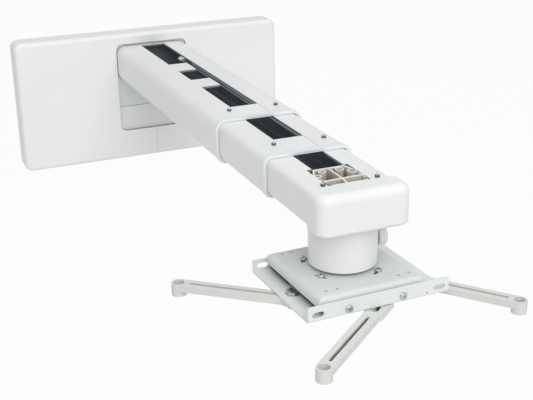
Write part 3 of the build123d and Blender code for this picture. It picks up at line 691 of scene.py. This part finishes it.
def screw_crown(x, y, top):
    """Domed middle with a hexagon socket, whose radius is its flat over cos of the turn."""
    turn = np.linspace(0.0, 2 * np.pi, SCREW_STEPS, endpoint=False)
    plan = np.stack([np.cos(turn), np.sin(turn)], -1)
    hexagon = SOCKET_FLAT / np.cos((turn % (np.pi / 3)) - np.pi / 6)
    rings = [level(plan * r + (x, y), top + z) for r, z in SCREW_CROWN]
    rings += [level(plan * hexagon[:, None] + (x, y), top + z) for z in SOCKET_HEIGHTS]
    return skin(rings)


def lock_screws(name, step, at, screws_x, body):
    """Bodies in painted shade and crowns with a painted highlight, for a tube's two screws."""
    top = tube_top(step)
    dark = mesh_of(name + "_bodies", [screw_body(x, -at, top) for x in screws_x])
    finish_piece(dark, zinc_painted_shade, body, "zinc", name)
    bright = mesh_of(name + "_crowns", [screw_crown(x, -at, top) for x in screws_x])
    finish_piece(bright, zinc_painted_highlight, body, "zinc", name)


lock_screws("outer_lock_screws", 0, OUTER_SCREW_AT, LOCK_SCREWS_X, "wall")
lock_screws("middle_lock_screws", 1, MIDDLE_SCREW_AT, LOCK_SCREWS_X, "middle")
lock_screws("head_screws", 2, HEAD_SCREW_AT, HEAD_SCREWS_X, "inner")


# Head casting in the arm's end, as heights over its plan. Its outlines are drawn as
# (x, distance from the wall) and shifted together.
CAST_TOP = 81.7
CAST_SHIFT = (-2.3, 5.4)
CAST_STEP = 0.25
CAST_BOX = (-28.4, 27.4, 725.0, 781.9)
CAST_HEIGHT = 30.0
CAST_GAP_DEPTH = 24.0
POCKET_DRAFT = 3.2
BOSS_WALL = 1.8
BOSS_SINK = 0.4
BOSS_DEPTH = 14.0
# Pockets: corners and depth
CAST_POCKETS = (
    (((-16.4, 722.5), (0.1, 722.5), (0.1, 757.4), (-21.5, 758.3), (-24.4, 741.0)), 24.0),
    (((2.1, 722.5), (20.2, 722.5), (27.4, 737.2), (25.5, 756.3), (2.1, 757.4)), 24.0),
    (((-21.4, 760.3), (0.0, 759.4), (-2.0, 774.0), (-20.2, 774.0)), 18.0),
    (((2.0, 759.3), (25.4, 758.3), (26.4, 774.0), (0.0, 774.0)), 18.0),
)
CAST_FRAME = (
    (-17.9, 720.5), (21.4, 720.5), (29.5, 737.0), (27.5, 759.0),
    (28.5, 776.0), (-22.0, 776.0), (-23.5, 756.0), (-26.5, 741.0),
)
# Ring bosses: place and bore radius
CAST_BOSSES = ((-10.1, 729.7, 3.0), (-20.6, 741.0, 3.0), (12.6, 729.0, 3.6), (23.0, 739.7, 4.2))


def inside_distance(x, y, corners):
    """Distance inside a convex outline: the least distance behind its edges."""
    corners = np.array(corners)
    after = np.roll(corners, -1, 0)
    area = np.sum(corners[:, 0] * after[:, 1] - corners[:, 1] * after[:, 0])
    winding = math.copysign(1.0, area)
    least = np.full(x.shape, np.inf)
    for (cx, cy), (dx, dy) in zip(corners, after - corners):
        behind = (dx * (y - cy) - dy * (x - cx)) / math.hypot(dx, dy) * winding
        least = np.minimum(least, behind)
    return least


def casting_height(x, reach):
    """Height of the casting: ribs on top, drafted pockets, ring bosses, a deep gap outside.

    A pocket sinks by depth (1 - (1 - s)^2), where s is the distance inside over the draft.
    """
    x, reach = x - CAST_SHIFT[0], reach - CAST_SHIFT[1]
    frame_in = inside_distance(x, reach, CAST_FRAME)
    height = np.where(frame_in > 0, CAST_TOP, CAST_TOP - CAST_GAP_DEPTH)
    for corners, depth in CAST_POCKETS:
        inside = inside_distance(x, reach, corners)
        slope = np.clip(inside / POCKET_DRAFT, 0.0, 1.0)
        floor = CAST_TOP - depth * (1.0 - (1.0 - slope) ** 2)
        height = np.where(inside > 0, np.minimum(height, floor), height)
    for bx, by, hole in CAST_BOSSES:
        away = np.hypot(x - bx, reach - by)
        height = np.where(away < hole + BOSS_WALL, CAST_TOP - BOSS_SINK, height)
        height = np.where(away < hole, CAST_TOP - BOSS_DEPTH, height)
    return height


def casting():
    """A grid of heights over the casting's plan, closed by its sides and floor."""
    x0, x1, r0, r1 = CAST_BOX
    xs = np.arange(x0, x1 + CAST_STEP, CAST_STEP)
    rs = np.arange(r0, r1 + CAST_STEP, CAST_STEP)
    x, reach = np.meshgrid(xs, rs)
    top = np.stack([x, -reach, casting_height(x, reach)], -1)
    rows, columns = x.shape
    grid = np.arange(rows * columns).reshape(rows, columns)
    quads = np.stack([grid[:-1, :-1], grid[1:, :-1], grid[1:, 1:], grid[:-1, 1:]], -1)
    quads = quads.reshape(-1, 4)
    rim = np.concatenate([grid[:, 0], grid[-1, 1:], grid[::-1, -1][1:], grid[0, ::-1][1:-1]])
    base = top.reshape(-1, 3)[rim] * (1.0, 1.0, 0.0) + (0.0, 0.0, CAST_TOP - CAST_HEIGHT)
    under = rows * columns + np.arange(len(rim))
    sides = np.stack([rim, under, np.roll(under, -1), np.roll(rim, -1)], -1)
    faces = quads.tolist() + sides.tolist() + [under[::-1].tolist()]
    return np.concatenate([top.reshape(-1, 3), base]), faces


ribs = mesh_of("head_casting_ribs", [casting()])
finish_piece(ribs, casting_coat_depth_shade, "inner", "casting", "head_casting")


# End cap
CAP_MIDDLE = 1.8
CAP_HALF = 57.5
CAP_SPAN = (787.0, 819.0)
CAP_HEIGHTS = (35.0, 83.6)
CAP_CORNER = 15.0
CAP_LOW_EDGE = 5.0
CAP_TOP_EDGE = 11.0


def cap_ring(inset, z):
    """Plan with two rounded front corners, drawn in by an inset."""
    radius = max(CAP_CORNER - inset, 4.0)
    back, front = CAP_SPAN
    half = CAP_HALF - inset
    turn = np.linspace(0.0, np.pi / 2, 13)
    middle = (half - radius, front - inset - radius)
    right = radius * np.stack([np.cos(turn), np.sin(turn)], -1) + middle
    left = right[::-1] * (-1.0, 1.0)
    sides = np.linspace(back, middle[1], 6)[:-1]
    up = np.stack([np.full(5, half), sides], -1)
    plan = np.concatenate([up, right, left, up[::-1] * (-1.0, 1.0)])
    return np.stack([plan[:, 0] + CAP_MIDDLE, -plan[:, 1], np.full(len(plan), z)], -1)


def cap_rings():
    """Quarter-round edges: inset r(1 - cos a) at height r(1 - sin a) from each rim."""
    low, high = CAP_HEIGHTS
    turn = np.linspace(0.0, np.pi / 2, 10)
    r = CAP_LOW_EDGE
    rows = [(r * (1 - math.sin(a)), low + r * (1 - math.cos(a))) for a in turn]
    r = CAP_TOP_EDGE
    rows += [(r * (1 - math.cos(a)), high - r * (1 - math.sin(a))) for a in turn]
    return [cap_ring(inset, z) for inset, z in rows]


hood = mesh_of("end_cap_hood", [skin(cap_rings())])
finish_piece(hood, cap_coat, "inner", "cap_plastic", "end_cap")


# Wall cover with a seam groove down its middle, and the panels in its cut-out
COVER_WIDTH = 464.0
COVER_HEIGHT = 220.0
COVER_CORNER = 12.0
COVER_EDGE = 7.0
COVER_DEPTH = 40.0
COVER_WALL = 2.5
CUT_WIDTH = 124.0
CUT_HEIGHT = 152.5
CUT_CORNER = 10.0
CUT_MIDDLE = 16.75
GROOVE = (1.1, 1.9)
GROOVE_DEPTH = 0.8
LIP_BACK = 28.0
LIP_WIDTH = 2.0
LIP_SINKS = (0.6, 1.0)
PANEL_BACK = 33.5
PANEL_FRONT = 36.0
PANEL_GAP = 0.5
PANEL_EASE = 0.3
# The seam between the panels: the upper one ends above it, the lower one below it
PANEL_SEAM = (-17.0, -16.2)


def cover_shell():
    """Moulding: section rings from the inner front, round the rim, to the outer front."""
    wall, front_inside = COVER_WALL, COVER_DEPTH - COVER_WALL
    turn = np.linspace(0.0, np.pi / 2, 8)
    rings = []
    for radius, inset, front in (
        (COVER_EDGE - wall, wall, front_inside), (COVER_EDGE, 0.0, COVER_DEPTH)
    ):
        rows = [(inset, 0.0)] + [
            (inset + radius * (1 - math.cos(a)), front - radius * (1 - math.sin(a))) for a in turn
        ]
        rows = rows[::-1] if inset else rows
        for shrink, reach in rows:
            corner = max(COVER_CORNER - shrink, 1.0)
            shape = rounded(COVER_WIDTH - 2 * shrink, COVER_HEIGHT - 2 * shrink, corner, 8)
            rings.append(across(shape, reach))
    return skin(rings)


def cut_shape(grow=0.0):
    """The cut-out's outline, grown or drawn in."""
    outline = rounded(CUT_WIDTH + 2 * grow, CUT_HEIGHT + 2 * grow, CUT_CORNER + grow, 8)
    return outline + (0.0, CUT_MIDDLE)


half_height = COVER_HEIGHT / 2
past_front = COVER_DEPTH + 1.0
grooves = [
    box_of(*GROOVE, COVER_DEPTH - GROOVE_DEPTH, past_front, -half_height - 10, half_height + 10),
    box_of(*GROOVE, -1.0, past_front, half_height - GROOVE_DEPTH, half_height + 2),
    box_of(*GROOVE, -1.0, past_front, -half_height - 2, -half_height + GROOVE_DEPTH),
]
opening = skin([across(cut_shape(), -5.0), across(cut_shape(), COVER_DEPTH + 5.0)])
shell = carve(mesh_of("wall_cover_shell", [cover_shell()]), [opening] + grooves)
finish_piece(shell, cover_coat, "wall", "cover_plastic", "wall_cover")
lip_rows = (
    (0.0, LIP_BACK), (0.0, COVER_DEPTH - LIP_SINKS[0]),
    (LIP_WIDTH, COVER_DEPTH - LIP_SINKS[1]), (LIP_WIDTH, LIP_BACK),
)
lip = [across(cut_shape(grow), reach) for grow, reach in lip_rows]
lip = mesh_of("wall_cover_lip", [skin(lip, closed=True)])
finish_piece(lip, cover_coat, "wall", "cover_plastic", "wall_cover")


def insert(name, cut_low, cut_high, material, slot_name):
    """Panel in the cut-out, cut round the tube and at the seam, with a hairline gap round it."""
    rows = (
        (-PANEL_GAP, PANEL_BACK), (-PANEL_GAP, PANEL_FRONT - PANEL_EASE),
        (-PANEL_GAP - 0.4, PANEL_FRONT),
    )
    plate = skin([across(cut_shape(grow), reach) for grow, reach in rows])
    low, high = PANEL_BACK - 3.5, PANEL_FRONT + 4.0
    round_tube = section(0, -0.6)
    cuts = [skin([across(round_tube, low), across(round_tube, high)])]
    cuts += [box_of(-80.0, 80.0, low, high, cut_low, cut_high)]
    piece = carve(mesh_of(name + "_panel", [plate]), cuts)
    finish_piece(piece, material, "wall", slot_name, name)


insert("insert_upper", -80.0, PANEL_SEAM[1], panel_grey, "panel_grey")
insert("insert_lower", PANEL_SEAM[0], COVER_HEIGHT / 2, panel_pale, "panel_light")


# Upper plate, folded down on four sides
TOP_Z = -22.5
SHEET = 2.5
PAN = (-67.5, 63.8, -71.5, 64.0)
PAN_FOLDS = (7.0, 5.5)
PAN_BOTTOMS = (-34.0, -30.5)
PAN_CORNER = 0.8
NECK_R = 34.0
ARC_CENTRES = (142.0, 208.5, 301.5)
ARC_HALF_TURN = 8.0
ARC_R = 45.5
ARC_HALF_WIDTH = 2.4
TRIM_HOLE_R = 1.9
TRIM_HOLES_X = (-51.5, -38.0, 40.5, 54.0)
TRIM_HOLES_Y = (-57.0, 53.0)
LUG_STARTS = (-60.0, 57.0)
LUG_WALL = 3.0
LUG_BOTTOM = -38.5


def pan_ring(inset_x, inset_y, sink, ends):
    """Rectangle with two points beside each corner, so that its ends can stop higher."""
    x0, x1, y0, y1 = PAN
    x0, x1, y0, y1 = x0 + inset_x, x1 - inset_x, y0 + inset_y, y1 - inset_y
    x2, x3, y2, y3 = x0 + PAN_CORNER, x1 - PAN_CORNER, y0 + PAN_CORNER, y1 - PAN_CORNER
    xs = np.array([x0, x2, x3, x1, x1, x1, x1, x3, x2, x0, x0, x0])
    ys = np.array([y0, y0, y0, y0, y2, y3, y1, y1, y1, y1, y3, y2])
    side = np.array([0, 1, 1, 0, 0, 0, 0, 1, 1, 0, 0, 0], bool)
    return np.stack([xs, ys, np.where(side, ends, sink)], -1)


def pan_rings():
    """Folds, inside and then outside: inset r(1 - sin a) at depth r(1 - cos a)."""
    turn = np.linspace(0.0, np.pi / 2, 7)
    rings = []
    for wall in (SHEET, 0.0):
        rows = []
        for a in turn:
            rx, ry = max(PAN_FOLDS[0] - wall, 0.6), max(PAN_FOLDS[1] - wall, 0.6)
            rows.append(
                (wall + rx * (1 - math.sin(a)), wall + ry * (1 - math.sin(a)),
                 TOP_Z - wall - rx * (1 - math.cos(a)), TOP_Z - wall - ry * (1 - math.cos(a)))
            )
        rows.append((wall, wall, PAN_BOTTOMS[0], PAN_BOTTOMS[1]))
        rings += [pan_ring(*row) for row in (rows if wall else rows[::-1])]
    return rings


def arc_slot(centre, half_turn):
    """Slot along an arc: outer arc, end circle, inner arc back and end circle."""
    radius, half = ARC_R, ARC_HALF_WIDTH
    low, high = (math.radians(centre + side * half_turn) for side in (-1, 1))
    along = np.linspace(low, high, 9)
    cap = np.linspace(0.0, np.pi, 9)[1:-1]
    outer = (radius + half) * np.stack([np.cos(along), np.sin(along)], -1)
    inner = (radius - half) * np.stack([np.cos(along[::-1]), np.sin(along[::-1])], -1)
    ends = []
    for angle, start in ((high, high), (low, low + np.pi)):
        middle = radius * np.array([math.cos(angle), math.sin(angle)])
        ends.append(middle + half * np.stack([np.cos(start + cap), np.sin(start + cap)], -1))
    return np.concatenate([outer, ends[0], inner, ends[1]])


under, over = TOP_Z - 4, TOP_Z + 1
pan_cuts = [post(NECK_R, under, over)]
pan_cuts += [plank(arc_slot(centre, ARC_HALF_TURN), under, over) for centre in ARC_CENTRES]
for x in TRIM_HOLES_X:
    pan_cuts += [post(TRIM_HOLE_R, under, over, x, y, 16) for y in TRIM_HOLES_Y]
pan = carve(mesh_of("upper_plate_pan", [skin(pan_rings())], on_head), pan_cuts, on_head)
finish_piece(pan, pan_coat_shaded, "top", "head_paint", "upper_plate")

lug = np.array([
    [-8.0, TOP_Z - 1], [-8.0, -34.0], [-4.5, LUG_BOTTOM],
    [4.5, LUG_BOTTOM], [8.0, -34.0], [8.0, TOP_Z - 1],
])
lugs = [skin([sideways(lug, start), sideways(lug, start + LUG_WALL)]) for start in LUG_STARTS]
lugs = mesh_of("upper_plate_lugs", lugs, on_head)
finish_piece(lugs, head_coat, "top", "head_paint", "upper_plate")

# Yoke's side wings under the plate: a shelf and a lip beside each skirt
WING_SPANS = ((24.0, 66.0), (-58.5, -12.0))
WING_START = 50.0
WING_TOP = -36.0
SHELF_BOTTOM = -38.0
LIP_BOTTOM = -40.0
LIP_WALL = 2.5
wings = []
for reach0, reach1 in WING_SPANS:
    for side, skirt in ((-1, PAN[0]), (1, PAN[1])):
        wing = skirt - side * (SHEET + 0.5)
        shelf = sorted((side * WING_START, wing))
        wings.append(box_of(*shelf, reach0, reach1, SHELF_BOTTOM, WING_TOP))
        lip = sorted((wing - side * LIP_WALL, wing))
        wings.append(box_of(*lip, reach0, reach1, LIP_BOTTOM, WING_TOP - 0.2))
finish_piece(mesh_of("yoke_wings", wings, on_head), black_coat, "pitch", "black_steel")


# Spider arms, drawn along +X from the tip hole
ARM_TOP = -46.9
ARM_LOW = ARM_TOP - 8.2
BAR_LENGTH = 130.0
BAR_WIDTH = 18.0
BAR_SLOT = (12.5, 119.0, 4.2)
HUB_LENGTH = 42.0
HUB_WIDTH = 22.0
HUB_MIDDLE = 148.0
HUB_SLOT = (130.5, 161.5, 8.4)
TIP_R = 9.0
TIP_HEIGHT = 15.0
TIP_RECESS_R = 6.5
TIP_RECESS = 11.0
TIP_BORE_R = 2.75
# A dark sheet in each arm's slot: painted shade for the slot's depth
SLOT_SHADE_SHEET = (11.5, 120.0, 5.2)
SLOT_SHADE_SHEET_HEIGHTS = (ARM_TOP - 5.0, ARM_TOP - 2.6)
ARM_EDGE = 0.5
ARM_EDGE_ANGLE = math.radians(50.0)
# Pivot's place about the column, direction from pivot to tip in degrees, and distance
ARM_POSES = {
    "left": (-67.8, -7.6, 138.2, 138.0),
    "front": (15.5, -64.5, 218.2, 158.0),
    "right": (68.5, -9.3, -54.2, 147.0),
    "rear": (-5.0, 57.4, 55.0, 147.0),
}


def stadium(x0, x1, width, steps=10):
    """Slot outline: half circles at both ends of a straight run."""
    radius = width / 2
    turn = np.linspace(-np.pi / 2, np.pi / 2, steps)
    right = np.stack([x1 - radius + radius * np.cos(turn), radius * np.sin(turn)], -1)
    left = np.stack([x0 + radius - radius * np.cos(turn), -radius * np.sin(turn)], -1)
    return np.concatenate([right, left])


def spider_arm(name, place):
    """Bar joined to its hub and tip boss, then cut by the slots, the recess and the bore."""
    bar = rounded(BAR_LENGTH, BAR_WIDTH, 1.0, 2) + (BAR_LENGTH / 2, 0.0)
    hub = rounded(HUB_LENGTH, HUB_WIDTH, 4.0, 5) + (HUB_MIDDLE, 0.0)
    piece = mesh_of(name, [plank(bar, ARM_LOW, ARM_TOP)], place)
    joined = [
        plank(hub, ARM_LOW, ARM_TOP),
        post(TIP_R, ARM_TOP - TIP_HEIGHT, ARM_TOP, steps=48),
    ]
    piece = carve(piece, joined, place, "UNION")
    cuts = [
        post(TIP_RECESS_R, ARM_TOP - TIP_RECESS, ARM_TOP + 1, steps=40),
        post(TIP_BORE_R, ARM_TOP - TIP_HEIGHT - 1, ARM_TOP + 1, steps=24),
        plank(stadium(*BAR_SLOT), ARM_LOW - 1, ARM_TOP + 1),
        plank(stadium(*HUB_SLOT), ARM_LOW - 1, ARM_TOP + 1),
    ]
    piece = carve(piece, cuts, place)
    ease = piece.modifiers.new("ease", "BEVEL")
    ease.width = ARM_EDGE * MM
    ease.segments = 2
    ease.limit_method = "ANGLE"
    ease.angle_limit = ARM_EDGE_ANGLE
    return piece


def arm_place(x, y, toward_tip, distance):
    """Turn an arm drawn from its tip onto its pivot, then onto the head."""
    angle = math.radians(toward_tip + 180.0)
    cos, sin = math.cos(angle), math.sin(angle)
    turn = np.array([[cos, sin, 0.0], [-sin, cos, 0.0], [0.0, 0.0, 1.0]])
    return lambda points: on_head((points - (distance, 0.0, 0.0)) @ turn + (x, y, 0.0))


for which, values in ARM_POSES.items():
    node_name = f"arm_{which}"
    place = arm_place(*values)
    piece = spider_arm(node_name + "_bar", place)
    finish_piece(piece, arm_coat, node_name, "arm_paint", node_name)
    # Painted shade: a dark sheet inside the slot, where the slot lies in shade
    shade_sheet = mesh_of(node_name + "_web", [plank(stadium(*SLOT_SHADE_SHEET), *SLOT_SHADE_SHEET_HEIGHTS)], place)
    finish_piece(shade_sheet, slot_shade, node_name, "arm_paint", node_name)


# Lock knob on the column's right, as rows of x, radius and share of the flutes
KNOB_Z = 4.0
KNOB_FLUTES = 12
FLUTE_DEPTH = 0.07
KNOB_ROWS = (
    (42.6, 8.5, 0.0), (43.2, 11.4, 0.5), (44.2, 11.9, 1.0), (51.6, 11.9, 1.0),
    (52.6, 11.5, 0.9), (53.4, 10.4, 0.5), (53.6, 8.4, 0.0), (53.2, 7.6, 0.0),
)


def knob_ring(x, radius, share):
    """Ring about the knob's axis: r (1 - depth share max(cos(n a) - 0.2, 0))."""
    turn = np.linspace(0.0, 2 * np.pi, 10 * KNOB_FLUTES, endpoint=False)
    flute = np.clip(np.cos(KNOB_FLUTES * turn) - 0.2, 0.0, 1.0)
    rim = radius * (1 - FLUTE_DEPTH * share * flute)
    ring = np.stack([rim * np.sin(turn) - COLUMN_AT, rim * np.cos(turn) + KNOB_Z], -1)
    return sideways(ring, x)


knob = mesh_of("lock_knob_fluted", [skin([knob_ring(*row) for row in KNOB_ROWS])])
finish_piece(knob, knob_skin, "lock", "knob_plastic", "lock_knob")


# Floor, backdrop and light
FLOOR_Z = -1.1
FLOOR_HALF = 60.0
FLOOR_SHARE = 0.94


def stage_plane(name, corners):
    """One flat quad."""
    mesh = bpy.data.meshes.new(name)
    mesh.from_pydata(corners, [], [(0, 1, 2, 3)])
    mesh.update()
    plane = bpy.data.objects.new(name, mesh)
    bpy.context.scene.collection.objects.link(plane)
    return plane


def white_stage_material(name, share):
    """White to the camera and in reflections by the share, and real shading for the rest."""
    material, tree, shader = new_material(name)
    shader.inputs["Base Color"].default_value = (0.86, 0.86, 0.86, 1.0)
    shader.inputs["Roughness"].default_value = 0.9
    path = tree.nodes.new("ShaderNodeLightPath")
    seen = math_node(tree, "MAXIMUM", path.outputs["Is Camera Ray"], path.outputs["Is Glossy Ray"])
    seen = math_node(tree, "MAXIMUM", seen, path.outputs["Is Transmission Ray"])
    glow = tree.nodes.new("ShaderNodeEmission")
    glow.inputs["Color"].default_value = (1.0, 1.0, 1.0, 1.0)
    glow.inputs["Strength"].default_value = 1.0
    mix = tree.nodes.new("ShaderNodeMixShader")
    tree.links.new(math_node(tree, "MULTIPLY", seen, share), mix.inputs[0])
    tree.links.new(shader.outputs[0], mix.inputs[1])
    tree.links.new(glow.outputs[0], mix.inputs[2])
    tree.links.new(mix.outputs[0], tree.nodes["Material Output"].inputs["Surface"])
    return material


corner_signs = ((-1, -1), (1, -1), (1, 1), (-1, 1))
floor = stage_plane(
    "floor", [(FLOOR_HALF * x, FLOOR_HALF * y, FLOOR_Z) for x, y in corner_signs]
)
floor.data.materials.append(white_stage_material("floor_white", FLOOR_SHARE))

world = bpy.data.worlds.new("studio")
bpy.context.scene.world = world
world.use_nodes = True
world_tree = world.node_tree
world_out = world_tree.nodes["World Output"]
ambient = world_tree.nodes["Background"]
ambient.inputs["Color"].default_value = (0.96, 0.98, 1.0, 1.0)
ambient.inputs["Strength"].default_value = 0.64
backdrop = world_tree.nodes.new("ShaderNodeBackground")
backdrop.inputs["Color"].default_value = (1.0, 1.0, 1.0, 1.0)
backdrop.inputs["Strength"].default_value = 1.0
path = world_tree.nodes.new("ShaderNodeLightPath")
seen = math_node(
    world_tree, "MAXIMUM", path.outputs["Is Camera Ray"], path.outputs["Is Transmission Ray"]
)
mix = world_tree.nodes.new("ShaderNodeMixShader")
world_tree.links.new(seen, mix.inputs[0])
world_tree.links.new(ambient.outputs[0], mix.inputs[1])
world_tree.links.new(backdrop.outputs[0], mix.inputs[2])
world_tree.links.new(mix.outputs[0], world_out.inputs["Surface"])


def soft_light(name, place, aim, size, power):
    """Square area lamp turned towards a point."""
    lamp = bpy.data.lights.new(name, "AREA")
    lamp.shape = "SQUARE"
    lamp.size = size
    lamp.energy = power
    holder = bpy.data.objects.new(name, lamp)
    bpy.context.scene.collection.objects.link(holder)
    holder.location = place
    holder.rotation_euler = (Vector(aim) - Vector(place)).to_track_quat("-Z", "Y").to_euler()


ARM_MIDDLE = (0.0, -0.5, 0.03)
soft_light("key_light", (-0.35, -2.95, 2.05), ARM_MIDDLE, 3.0, 66.0)
soft_light("top_light", (0.2, -0.3, 2.6), ARM_MIDDLE, 2.4, 8.0)

# Camera, fitted to the view of the photograph
VIEW_WIDTH_PX = 533.0
FOCAL_PX = 1039.45
SENSOR_MM = 36.0
CAMERA_PLACE = (-0.50067, -1.73812, 0.47864)
CAMERA_YAW = 22.69
CAMERA_PITCH = 21.14
CAMERA_ROLL = -0.96


def camera_matrix():
    """Columns: right, up and backwards, turned by yaw, pitch down and roll."""
    yaw, pitch, roll = (math.radians(angle) for angle in (CAMERA_YAW, CAMERA_PITCH, CAMERA_ROLL))
    flat = math.cos(pitch)
    ahead = Vector((math.sin(yaw) * flat, math.cos(yaw) * flat, -math.sin(pitch)))
    right = Vector((math.cos(yaw), -math.sin(yaw), 0.0))
    up = right.cross(ahead)
    level_right = right * math.cos(roll) + up * math.sin(roll)
    level_up = -right * math.sin(roll) + up * math.cos(roll)
    turn = Matrix((level_right, level_up, -ahead)).transposed().to_4x4()
    return Matrix.Translation(CAMERA_PLACE) @ turn


lens = bpy.data.cameras.new("photo_view")
lens.sensor_fit = "HORIZONTAL"
lens.sensor_width = SENSOR_MM
lens.lens = SENSOR_MM * FOCAL_PX / VIEW_WIDTH_PX
camera = bpy.data.objects.new("photo_view", lens)
bpy.context.scene.collection.objects.link(camera)
camera.matrix_world = camera_matrix()
bpy.context.scene.camera = camera
bpy.context.scene.view_settings.view_transform = "Standard"
